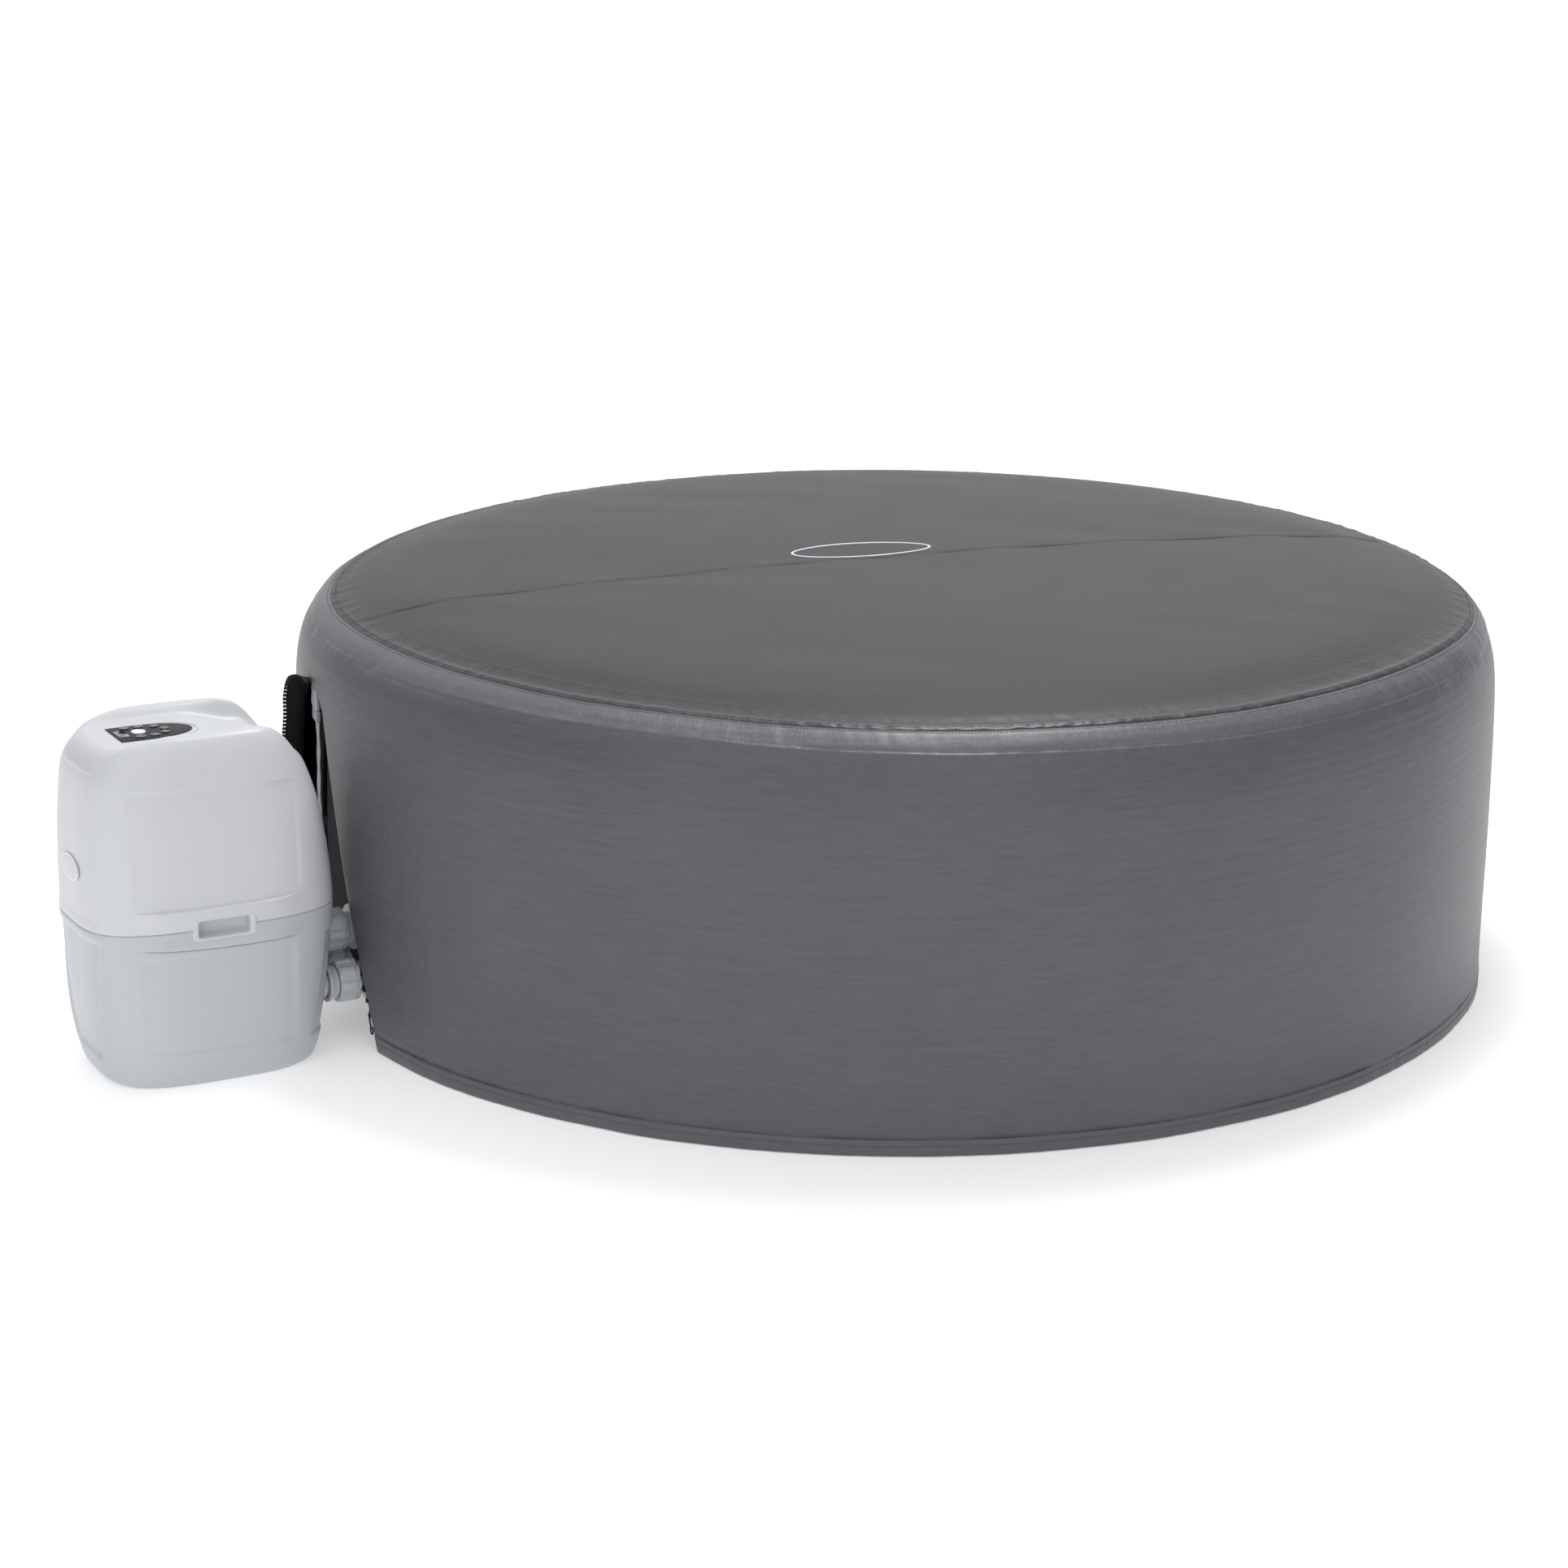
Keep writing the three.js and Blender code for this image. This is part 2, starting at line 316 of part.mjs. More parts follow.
// circulation pump: volute behind the inlet stub, motor on its outer side
const V = [PORT_B[0] - 15, PORT_B[1]];   // drum centre, beside the inlet's axis
add('port_gasket_outlet', toMinusX(pipe(19.2, 22.6, 985.4, 987.4, 16), 0, ...PORT_A), 'rubber');
add('port_gasket_inlet', toMinusX(pipe(19.2, 22.6, 985.4, 987.4, 16), 0, ...PORT_B), 'rubber');
const stub = ([y, z], len) => toPlusX(pipe(19, PORT_R, len, -PUMP_X - 987.8, 16), 0, y, z);
M('pump_volute', cut(join(toPlusX(cyl(40, 60, 104, 20), 0, ...V), toPlusX(cyl(PORT_R, 100, -PUMP_X - 987.8, 16), 0, ...PORT_B)),
  toPlusX(cyl(37, 63, 101, 20), 0, ...V), toPlusX(cyl(7, 50, 70, 16), 0, ...V), toPlusX(cyl(19, 98, 260, 16), 0, ...PORT_B)), 'black');
M('impeller', toPlusX(join(cyl(33, 80, 84, 16), cyl(6, 20, 88, 16), ...[0, 1, 2, 3, 4, 5].map((i) => box(5, -1.5, 83, 31, 1.5, 94).rotateZ(i * Math.PI / 3))), 0, ...V), 'black');
M('pump_motor', toPlusX(cut(cyl(32, -62, 59, 16), cyl(6.4, 10, 70, 16)), 0, ...V), 'steel');
// heater: a pipe from the outlet stub along the near side, with its element housing
M('heater_tube', cut(join(toPlusX(cyl(PORT_R, 60, -PUMP_X - 987.8, 16), 0, ...PORT_A), toPlusX(cyl(30, -120, 80, 16), 0, ...PORT_A)), toPlusX(cyl(19, 50, 260, 16), 0, ...PORT_A), toPlusX(cyl(27, -117, 77, 16), 0, ...PORT_A)), 'steel');
// air blower for the bubbles: drum with a fan, above the pipes
M('air_blower', cut(join(cyl(66, 262, 340, 32).translate(10, 0, 0), toPlusX(cyl(PORT_R, 88, -PUMP_X - 987.8, 16), 0, ...PORT_C), box(60, PORT_C[0] - 22, 150, 100, PORT_C[0] + 22, 292)),
  cyl(63, 265, 337, 32).translate(10, 0, 0), toPlusX(cyl(19, 96, 260, 16), 0, ...PORT_C), box(63, PORT_C[0] - 19, 153, 97, PORT_C[0] + 19, 289), box(50, PORT_C[0] - 19, 268, 80, PORT_C[0] + 19, 289), cyl(24, 330, 345, 16).translate(10, 0, 0)), 'black');
M('blower_fan', join(cyl(58, 270, 273, 20), cyl(7, 270, 320, 16), ...[...Array(8)].map((_, i) => box(12, -1.2, 272, 56, 1.2, 300).rotateZ(i * Math.PI / 4))).translate(10, 0, 0), 'white');
M('blower_motor', cyl(22, 341, 384, 20).translate(10, 0, 0), 'steel');
M('control_board', box(-120, -44, 488, 0, 44, 494), 'pcb');
M('cord_gland', toPlusY(cut(join(cyl(10.6, 112, 133, 16), cyl(15, 132, 139, 16)), cyl(4.2, 100, 150, 12)), GLAND.x, 0, GLAND.z), 'rubber');

// union nuts that draw the pump's stubs onto the wall fittings
const nut = () => {
  const ribs = [];
  for (let i = 0; i < 32; i++) { const f = i / 32 * 2 * Math.PI, r = i % 4 < 2 ? 34 : 31.2; ribs.push([r * Math.cos(f), r * Math.sin(f)]); }
  return cut(plate(ribs, 34).translate(0, 0, 973), cyl(PORT_R + 0.4, 950, 1020, 16));
};
add('union_nut_outlet', toMinusX(nut(), 0, ...PORT_A), 'fitting');
add('union_nut_inlet', toMinusX(nut(), 0, ...PORT_B), 'fitting');
add('union_nut_air', toMinusX(nut(), 0, ...PORT_C), 'fitting');

export default root;
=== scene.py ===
import bpy, bmesh, math
import numpy as np
from mathutils import Matrix, Vector


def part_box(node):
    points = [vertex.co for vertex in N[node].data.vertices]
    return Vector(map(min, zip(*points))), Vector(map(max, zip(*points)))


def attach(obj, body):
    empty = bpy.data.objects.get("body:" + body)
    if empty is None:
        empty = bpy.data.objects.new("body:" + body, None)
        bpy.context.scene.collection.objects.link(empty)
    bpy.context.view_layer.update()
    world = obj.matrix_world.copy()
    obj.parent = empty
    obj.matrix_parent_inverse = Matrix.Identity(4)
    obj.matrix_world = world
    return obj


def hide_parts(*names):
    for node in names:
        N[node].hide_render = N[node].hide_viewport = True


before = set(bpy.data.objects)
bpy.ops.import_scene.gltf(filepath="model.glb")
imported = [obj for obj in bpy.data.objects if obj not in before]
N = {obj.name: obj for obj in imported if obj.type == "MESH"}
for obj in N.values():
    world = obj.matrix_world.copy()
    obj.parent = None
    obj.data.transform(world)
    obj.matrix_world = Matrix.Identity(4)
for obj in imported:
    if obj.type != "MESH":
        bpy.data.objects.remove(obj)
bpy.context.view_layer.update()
rng = np.random.default_rng(7)
rad, sin, cos, pi = math.radians, math.sin, math.cos, math.pi
TAU = 2 * pi


# ---------------------------------------------------------------- mesh helpers
def mesh(name, V, F, mats=(), smooth=True, uv=None, sharp=None, midx=None, weld=0.0, recalc=False):
    me = bpy.data.meshes.new(name)
    V = np.asarray(V, float).reshape(-1, 3)
    if isinstance(F, np.ndarray) and F.ndim == 2:
        n = F.shape[1]
        me.vertices.add(len(V)); me.vertices.foreach_set("co", V.astype(np.float32).ravel())
        me.loops.add(F.size); me.loops.foreach_set("vertex_index", F.astype(np.int32).ravel())
        me.polygons.add(len(F)); me.polygons.foreach_set("loop_start", np.arange(0, F.size, n, dtype=np.int32))
        me.update(calc_edges=True)
    else:
        me.from_pydata([tuple(v) for v in V], [], [tuple(int(i) for i in f) for f in F])
    if uv is not None:
        uv = np.asarray(uv, float).reshape(-1, 2)
        li = np.zeros(len(me.loops), np.int32); me.loops.foreach_get("vertex_index", li)
        lay = me.uv_layers.new(name="UVMap")
        if len(uv) == len(V):
            lay.data.foreach_set("uv", uv[li].astype(np.float32).ravel())
        else:
            lay.data.foreach_set("uv", uv.astype(np.float32).ravel())
    if midx is not None:
        me.polygons.foreach_set("material_index", np.asarray(midx, np.int32))
    me.validate(); me.update()
    ob = bpy.data.objects.new(name, me)
    bpy.context.scene.collection.objects.link(ob)
    for m in (mats if isinstance(mats, (list, tuple)) else [mats]):
        me.materials.append(m)
    if weld or recalc:
        bm = bmesh.new(); bm.from_mesh(me)
        if weld:
            bmesh.ops.remove_doubles(bm, verts=bm.verts, dist=weld)
        if recalc:
            bmesh.ops.recalc_face_normals(bm, faces=bm.faces)
        bm.to_mesh(me); bm.free()
    me.polygons.foreach_set("use_smooth", np.full(len(me.polygons), bool(smooth)))
    if sharp is not None:
        me.set_sharp_from_angle(angle=rad(sharp))
    me.update()
    return ob


def quads(nr, nc, wrap=False, flip=False):
    """faces of a grid with nr rows and nc columns, vertex index = row * nc + column"""
    r = np.arange(nr - 1)[:, None]; c = np.arange(nc if wrap else nc - 1)[None, :]
    c2 = (c + 1) % nc
    a, b, d, e = r * nc + c, r * nc + c2, (r + 1) * nc + c2, (r + 1) * nc + c
    F = np.stack([a, b, d, e] if not flip else [a, e, d, b], -1).reshape(-1, 4)
    return F


def join_parts(parts):
    V, F, off = [], [], 0
    for v, f in parts:
        v = np.asarray(v, float).reshape(-1, 3)
        V.append(v)
        F += [tuple(int(i) + off for i in q) for q in f]
        off += len(v)
    return np.concatenate(V), F


def lathe(pts, seg=64, closed=False):
    """rings about Z; pts are (r, z), counter-clockwise section seen with r to the right for outward normals"""
    pts = np.asarray(pts, float)
    f = np.arange(seg) / seg * TAU
    V = np.stack([pts[:, 0][:, None] * np.cos(f), pts[:, 0][:, None] * np.sin(f), np.repeat(pts[:, 1][:, None], seg, 1)], -1)
    F = quads(len(pts), seg, True)
    V = V.reshape(-1, 3)
    if closed:
        n = len(pts)
        c = np.arange(seg); c2 = (c + 1) % seg
        F = np.concatenate([F, np.stack([(n - 1) * seg + c, (n - 1) * seg + c2, c2, c], -1)])
        return V, F
    F = [tuple(q) for q in F]
    if pts[0, 0] > 1e-9:
        F.append(tuple(range(seg))[::-1])
    if pts[-1, 0] > 1e-9:
        F.append(tuple((len(pts) - 1) * seg + i for i in range(seg)))
    return V, F


def rsect(pts, r=0.0015, n=4, closed=True):
    """rounds the corners of a section"""
    P = [np.array(p, float) for p in pts]; out = []
    for i, p in enumerate(P):
        a, b = P[i - 1], P[(i + 1) % len(P)]
        if not closed and i in (0, len(P) - 1):
            out.append(p); continue
        u, v = a - p, b - p
        lu, lv = np.linalg.norm(u), np.linalg.norm(v)
        k = min(r, lu * .45, lv * .45)
        if k < 1e-5:
            out.append(p); continue
        s, e = p + u / lu * k, p + v / lv * k
        for t in np.linspace(0, 1, n + 1):
            out.append((1 - t) ** 2 * s + 2 * t * (1 - t) * p + t * t * e)
    return np.array(out)


def extrude(pts, t, bevel=0.0006, nb=3, z0=0.0):
    """a plate with rounded edges: outline pts (x, y), from z0 to z0 + t"""
    P = np.asarray(pts, float)
    n = len(P)
    if np.sum(P[:, 0] * np.roll(P[:, 1], -1) - np.roll(P[:, 0], -1) * P[:, 1]) < 0:
        P = P[::-1]
    d = np.roll(P, -1, 0) - P; nrm = np.stack([d[:, 1], -d[:, 0]], -1); nrm /= np.linalg.norm(nrm, axis=1)[:, None] + 1e-12
    vn = nrm + np.roll(nrm, 1, 0); vn /= np.linalg.norm(vn, axis=1)[:, None] + 1e-12
    rows = []
    b = min(bevel, t * .49)
    for k in range(nb + 1):
        a = k / nb * pi / 2
        rows.append((b * (1 - sin(a)), z0 + b * (1 - cos(a))))
    for k in range(nb + 1):
        a = k / nb * pi / 2
        rows.append((b * (1 - cos(a)), z0 + t - b * (1 - sin(a))))
    V = np.concatenate([np.column_stack([P - vn * o, np.full(n, z)]) for o, z in rows])
    F = [tuple(q) for q in quads(len(rows), n, True)]
    F.append(tuple(range(n))[::-1]); F.append(tuple((len(rows) - 1) * n + i for i in range(n)))
    return V, F


def tube(path, r, seg=8, closed=False, cap=True):
    P = np.asarray(path, float)
    n = len(P)
    T = np.roll(P, -1, 0) - np.roll(P, 1, 0) if closed else np.gradient(P, axis=0)
    T /= np.linalg.norm(T, axis=1)[:, None] + 1e-12
    up = np.array([0, 0, 1.0]) if abs(T[0, 2]) < .9 else np.array([1.0, 0, 0])
    U = []
    u = up - T[0] * (up @ T[0]); u /= np.linalg.norm(u)
    for t in T:
        u = u - t * (u @ t); u /= np.linalg.norm(u) + 1e-12; U.append(u.copy())
    U = np.array(U); W = np.cross(T, U)
    f = np.arange(seg) / seg * TAU
    rr = np.broadcast_to(np.asarray(r, float), (n,))
    V = P[:, None] + rr[:, None, None] * (U[:, None] * np.cos(f)[None, :, None] + W[:, None] * np.sin(f)[None, :, None])
    F = [tuple(q) for q in quads(n, seg, True)]
    if closed:
        c = np.arange(seg); c2 = (c + 1) % seg
        F += [tuple(q) for q in np.stack([(n - 1) * seg + c, (n - 1) * seg + c2, c2, c], -1)]
    elif cap:
        F.append(tuple(range(seg))[::-1]); F.append(tuple((n - 1) * seg + i for i in range(seg)))
    return V.reshape(-1, 3), F


def xf(vf, M):
    v, f = vf
    v = np.asarray(v, float).reshape(-1, 3)
    M = np.asarray(M, float)
    return v @ M[:3, :3].T + M[:3, 3], f


def T(x, y, z): return np.array(Matrix.Translation((x, y, z)))
def R(a, ax): return np.array(Matrix.Rotation(rad(a), 4, ax))


def frame_at(o, ex, ey, ez):
    M = np.eye(4); M[:3, 0], M[:3, 1], M[:3, 2], M[:3, 3] = ex, ey, ez, o
    return M


def outward(psi, r, z):
    """local x = along the circle, y = up, z = outward"""
    a = rad(psi)
    return frame_at((r * cos(a), r * sin(a), z), (-sin(a), cos(a), 0), (0, 0, 1), (cos(a), sin(a), 0))


MINUS_X = lambda x, y, z: frame_at((x, y, z), (0, -1, 0), (0, 0, 1), (-1, 0, 0))
PLUS_X = lambda x, y, z: frame_at((x, y, z), (0, 1, 0), (0, 0, 1), (1, 0, 0))


def rrect(w, h, r, n=6):
    pts = []
    for cx, cy, a0 in ((w / 2 - r, h / 2 - r, 0), (-w / 2 + r, h / 2 - r, 90), (-w / 2 + r, -h / 2 + r, 180), (w / 2 - r, -h / 2 + r, 270)):
        for i in range(n + 1):
            a = rad(a0 + 90 * i / n); pts.append((cx + r * cos(a), cy + r * sin(a)))
    return np.array(pts)


def oval(a, b, n=48):
    f = np.arange(n) / n * TAU
    return np.column_stack([a * np.cos(f), b * np.sin(f)])


def smooth01(a, b, t):
    u = np.clip((np.asarray(t, float) - a) / (b - a), 0, 1)
    return u * u * (3 - 2 * u)


def noise1(x, period, total, seed, octaves=1):
    """smooth periodic noise along x (metres) of the given period"""
    out = np.zeros_like(np.asarray(x, float)); amp = 1.0
    g = np.random.default_rng(seed)
    for o in range(octaves):
        n = max(4, int(round(total / period)))
        k = g.uniform(-1, 1, n)
        u = (np.asarray(x) / total % 1.0) * n
        i = np.floor(u).astype(int) % n; t = u - np.floor(u)
        p0, p1, p2, p3 = k[(i - 1) % n], k[i], k[(i + 1) % n], k[(i + 2) % n]
        out = out + amp * (.5 * ((2 * p1) + (-p0 + p2) * t + (2 * p0 - 5 * p1 + 4 * p2 - p3) * t * t + (-p0 + 3 * p1 - 3 * p2 + p3) * t ** 3))
        amp *= .5; period *= .5
    return out


def catmull(pts, per=24):
    P = np.asarray(pts, float)
    P = np.vstack([2 * P[0] - P[1], P, 2 * P[-1] - P[-2]])
    out = []
    for i in range(1, len(P) - 2):
        t0 = 0; a = .5
        t1 = t0 + np.linalg.norm(P[i] - P[i - 1]) ** a; t2 = t1 + np.linalg.norm(P[i + 1] - P[i]) ** a; t3 = t2 + np.linalg.norm(P[i + 2] - P[i + 1]) ** a
        for t in np.linspace(t1, t2, per, endpoint=False):
            A1 = (t1 - t) / (t1 - t0) * P[i - 1] + (t - t0) / (t1 - t0) * P[i]
            A2 = (t2 - t) / (t2 - t1) * P[i] + (t - t1) / (t2 - t1) * P[i + 1]
            A3 = (t3 - t) / (t3 - t2) * P[i + 1] + (t - t2) / (t3 - t2) * P[i + 2]
            B1 = (t2 - t) / (t2 - t0) * A1 + (t - t0) / (t2 - t0) * A2
            B2 = (t3 - t) / (t3 - t1) * A2 + (t - t1) / (t3 - t1) * A3
            out.append((t2 - t) / (t2 - t1) * B1 + (t - t1) / (t2 - t1) * B2)
    out.append(P[-2])
    return np.array(out)


def put(ob, body, replaces=()):
    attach(ob, body)
    if replaces:
        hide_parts(*replaces)
    return ob


# ---------------------------------------------------------------- materials
class NT:
    def __init__(self, name):
        self.m = bpy.data.materials.new(name); self.m.use_nodes = True
        self.t = self.m.node_tree; self.t.nodes.clear()
        self.out = self.t.nodes.new("ShaderNodeOutputMaterial")
        self.b = self.t.nodes.new("ShaderNodeBsdfPrincipled")
        self.t.links.new(self.b.outputs[0], self.out.inputs[0])

    def n(self, kind, **kw):
        nd = self.t.nodes.new("ShaderNode" + kind)
        for k, v in kw.items():
            if hasattr(nd, k):
                setattr(nd, k, v)
            else:
                nd.inputs[k.replace("_", " ")].default_value = v
        return nd

    def l(self, a, b):
        self.t.links.new(a, b)

    def coord(self, kind="Object", scale=(1, 1, 1)):
        c = self.n("TexCoord"); m = self.n("Mapping"); m.inputs["Scale"].default_value = scale
        self.l(c.outputs[kind], m.inputs["Vector"])
        return m.outputs[0]

    def noise(self, vec, scale, detail=3, rough=.55, dist=0):
        t = self.n("TexNoise"); t.inputs["Scale"].default_value = scale; t.inputs["Detail"].default_value = detail
        t.inputs["Roughness"].default_value = rough; t.inputs["Distortion"].default_value = dist
        self.l(vec, t.inputs["Vector"])
        return t.outputs[0]

    def math(self, op, a, b=None, c=None, clamp=False):
        m = self.n("Math", operation=op); m.use_clamp = clamp
        for i, x in enumerate((a, b, c)):
            if x is None: continue
            if isinstance(x, (int, float)): m.inputs[i].default_value = x
            else: self.l(x, m.inputs[i])
        return m.outputs[0]

    def ramp(self, fac, stops):
        r = self.n("ValToRGB"); e = r.color_ramp.elements
        while len(e) < len(stops): e.new(.5)
        for el, (p, c) in zip(e, stops):
            el.position = p; el.color = (*c, 1) if len(c) == 3 else c
        self.l(fac, r.inputs[0])
        return r.outputs[0]

    def mix(self, fac, a, b):
        m = self.n("Mix", data_type="RGBA")
        for i, x in ((0, fac), (6, a), (7, b)):
            if isinstance(x, (int, float)): m.inputs[i].default_value = x
            elif isinstance(x, tuple): m.inputs[i].default_value = (*x, 1)
            else: self.l(x, m.inputs[i])
        return m.outputs[2]

    def bump(self, height, strength=.3, dist=.001, normal=None):
        b = self.n("Bump"); b.inputs["Strength"].default_value = strength; b.inputs["Distance"].default_value = dist
        self.l(height, b.inputs["Height"])
        if normal is not None: self.l(normal, b.inputs["Normal"])
        return b.outputs[0]

    def set(self, **kw):
        for k, v in kw.items():
            i = self.b.inputs[k.replace("_", " ")]
            if isinstance(v, (int, float)): i.default_value = v
            elif isinstance(v, tuple): i.default_value = (*v, 1) if len(v) == 3 else v
            else: self.l(v, i)
        return self.m


def grey(v):
    """sRGB 0-255 to linear"""
    c = v / 255
    return c / 12.92 if c <= .04045 else ((c + .055) / 1.055) ** 2.4


def rgb(r, g, b):
    return (grey(r), grey(g), grey(b))


# coated fabric: fine woven ribs under a satin film; UVMap is in metres (along the cloth, across it)
def fabric_mat(name, base, var=.21, rough=.38, rib=420, ribdir="Y", bumpk=.58, coat=.25, pucker=.5, spec=.26):
    m = NT(name)
    uv = m.coord("UV")
    w = m.n("TexWave", wave_type="BANDS", bands_direction=ribdir); w.inputs["Scale"].default_value = rib / 20 * .98
    w.inputs["Distortion"].default_value = 1.6; w.inputs["Detail"].default_value = 2; w.inputs["Detail Scale"].default_value = 3
    m.l(uv, w.inputs["Vector"])
    w2 = m.n("TexWave", wave_type="BANDS", bands_direction="X" if ribdir == "Y" else "Y"); w2.inputs["Scale"].default_value = rib / 20 * .8
    w2.inputs["Distortion"].default_value = 2.2; m.l(uv, w2.inputs["Vector"])
    st = m.noise(m.coord("UV", (20, 215, 1) if ribdir == "Y" else (215, 20, 1)), 1.0, 4, .6)
    st2 = m.noise(m.coord("UV", (7, 70, 1) if ribdir == "Y" else (70, 7, 1)), 1.0, 3, .5)
    fine = m.noise(uv, 900, 2, .6)
    big = m.noise(m.coord("Object"), 3.2, 3, .5)
    f = m.math("ADD", m.math("MULTIPLY", st, .50), m.math("ADD", m.math("MULTIPLY", st2, .22), m.math("MULTIPLY", big, .28)))
    f = m.math("ADD", m.math("MULTIPLY", m.math("SUBTRACT", f, .5), 2.0), .5, clamp=True)
    lo = tuple(c * (1 - var) for c in base); hi = tuple(c * (1 + var) for c in base)
    col = m.ramp(f, [(0, lo), (1, hi)])
    h = m.math("ADD", m.math("MULTIPLY", w.outputs["Fac"], .55), m.math("ADD", m.math("MULTIPLY", w2.outputs["Fac"], .25), m.math("MULTIPLY", fine, .35)))
    h = m.math("ADD", h, m.math("MULTIPLY", st, .5))
    nrm = m.bump(h, bumpk, .0006)
    att = m.n("Attribute", attribute_name="pucker")
    pk = m.noise(m.coord("UV", (260, 32, 1) if ribdir == "Y" else (32, 260, 1)), 1.0, 4, .62, .3)
    pk2 = m.noise(m.coord("UV", (90, 55, 1) if ribdir == "Y" else (55, 90, 1)), 1.0, 4, .6, .6)
    ph = m.math("MULTIPLY", m.math("ADD", pk, m.math("MULTIPLY", pk2, .8)), att.outputs["Fac"])
    nrm = m.bump(ph, pucker, .006, nrm)
    ro = m.math("ADD", m.math("MULTIPLY", st, .10), m.math("ADD", m.math("MULTIPLY", fine, .06), rough - .08))
    cw = m.math("ADD", m.math("MULTIPLY", att.outputs["Fac"], coat * 1.9), coat * .12, clamp=True)
    return m.set(Base_Color=col, Roughness=ro, Normal=nrm, Specular_IOR_Level=spec, Coat_Weight=cw, Coat_Roughness=.30)


def plastic_mat(name, base, rough=.42, grain=1.0, var=.03, spec=.5, coat=0.0, scale=1.0, metal=0.0):
    m = NT(name)
    ob = m.coord("Object")
    big = m.noise(ob, 6 * scale, 3, .5)
    fine = m.noise(ob, 1500 * scale, 2, .6)
    mid = m.noise(ob, 140 * scale, 4, .6)
    col = m.ramp(m.math("ADD", m.math("MULTIPLY", big, .6), m.math("MULTIPLY", mid, .4)), [(.25, tuple(c * (1 - var) for c in base)), (.75, tuple(c * (1 + var) for c in base))])
    nrm = m.bump(fine, .16 * grain, .0004)
    nrm = m.bump(mid, .05 * grain, .0008, nrm)
    ro = m.math("ADD", m.math("MULTIPLY", mid, .10), m.math("ADD", m.math("MULTIPLY", fine, .06), rough - .08))
    return m.set(Base_Color=col, Roughness=ro, Normal=nrm, Specular_IOR_Level=spec, Coat_Weight=coat, Coat_Roughness=.3, Metallic=metal)


M_COVER = fabric_mat("cover_side_fabric", rgb(91, 90, 96), rough=.40)
# painted shade: the two top panels get darker copies of the side fabric, which offset the stronger overhead light
# falling on the top
M_TOP_PAINTED_DARKER = fabric_mat("cover_top_fabric_painted_darker", rgb(50, 50, 54), rough=.46, ribdir="Y", pucker=.45)
M_TOPB_PAINTED_DARKER = fabric_mat("cover_top_back_fabric_painted_darker", rgb(47, 47, 51), rough=.46, ribdir="X", pucker=.45)
M_LINING = fabric_mat("cover_lining", rgb(30, 31, 33), rough=.62, rib=900, coat=0, bumpk=.3)
M_TAPE = fabric_mat("zip_tape_cloth", rgb(30, 31, 33), rough=.75, rib=1500, coat=0, bumpk=.35, spec=.1)
M_LAPEL = fabric_mat("opening_facing_cloth", rgb(40, 41, 43), rough=.62, rib=900, coat=0)
M_BAND = fabric_mat("hem_band_cloth", rgb(90, 89, 95), rough=.42)
M_WEB = fabric_mat("webbing_cloth", rgb(176, 178, 182), rough=.75, rib=1100, coat=0, bumpk=.5)
M_THREAD = plastic_mat("stitch_thread", rgb(84, 85, 88), rough=.6, grain=1.5, var=.12)
M_TEETH = plastic_mat("zip_teeth", rgb(17, 18, 20), rough=.5, var=.1, spec=.25)
M_SKIN = fabric_mat("tub_wall_outer_skin", rgb(46, 47, 50), rough=.74, rib=500, coat=0, spec=.06)
M_LINER = NT("tub_liner_skin")
_o = M_LINER.coord("Object")
_m1 = M_LINER.noise(_o, 9, 4, .55); _m2 = M_LINER.noise(_o, 420, 3, .6); _m3 = M_LINER.noise(_o, 60, 4, .5, .4)
M_LINER = M_LINER.set(Base_Color=M_LINER.ramp(_m1, [(.3, rgb(196, 202, 208)), (.7, rgb(208, 213, 218))]),
                      Roughness=M_LINER.math("ADD", M_LINER.math("MULTIPLY", _m3, .14), .30),
                      Normal=M_LINER.bump(_m2, .12, .0005, M_LINER.bump(_m3, .18, .002)), Coat_Weight=.2, Coat_Roughness=.25)
M_LIDSKIN = plastic_mat("lid_vinyl", rgb(120, 123, 128), rough=.38, var=.06)
M_PUMP = plastic_mat("pump_shell_plastic", rgb(205, 207, 211), rough=.36, var=.012)
M_BASE = plastic_mat("pump_base_plastic", rgb(189, 193, 197), rough=.38, var=.012)
M_GRIP = plastic_mat("grip_plastic", rgb(204, 207, 210), rough=.42, var=.02)
M_PANEL = plastic_mat("panel_plastic", rgb(21, 22, 24), rough=.5, var=.05, spec=.3)
M_PRING = plastic_mat("panel_outline_paint", rgb(226, 229, 231), rough=.4, var=.02)
M_FIT = plastic_mat("fitting_plastic", rgb(186, 190, 194), rough=.4, var=.03)
M_BLACK = plastic_mat("black_plastic_part", rgb(32, 33, 35), rough=.42, var=.08)
M_BTN = plastic_mat("panel_button_plastic", rgb(34, 35, 38), rough=.46, var=.04)
M_WHITE = plastic_mat("white_button_plastic", rgb(242, 243, 244), rough=.38, var=.01)
M_STEEL = plastic_mat("steel_part", rgb(180, 182, 185), rough=.3, metal=1.0, var=.06)
M_BOARD = plastic_mat("circuit_board", rgb(40, 92, 62), rough=.5, var=.15)
M_RUBBER = plastic_mat("rubber_part", rgb(40, 41, 43), rough=.7, var=.1, grain=1.6)
M_PAPER = plastic_mat("filter_paper_part", rgb(226, 226, 220), rough=.85, var=.05, grain=2.5)
M_BUCKLE = plastic_mat("buckle_plastic", rgb(178, 181, 186), rough=.4, var=.03)
M_PRINT = plastic_mat("printed_ring_ink", rgb(214, 216, 219), rough=.5, var=.06)
M_DISPLAY = NT("display_glass")
M_DISPLAY = M_DISPLAY.set(Base_Color=M_DISPLAY.ramp(M_DISPLAY.noise(M_DISPLAY.coord("Object"), 30, 3), [(.3, rgb(16, 18, 20)), (.7, rgb(28, 31, 34))]), Roughness=.12, Coat_Weight=1.0, Coat_Roughness=.05)

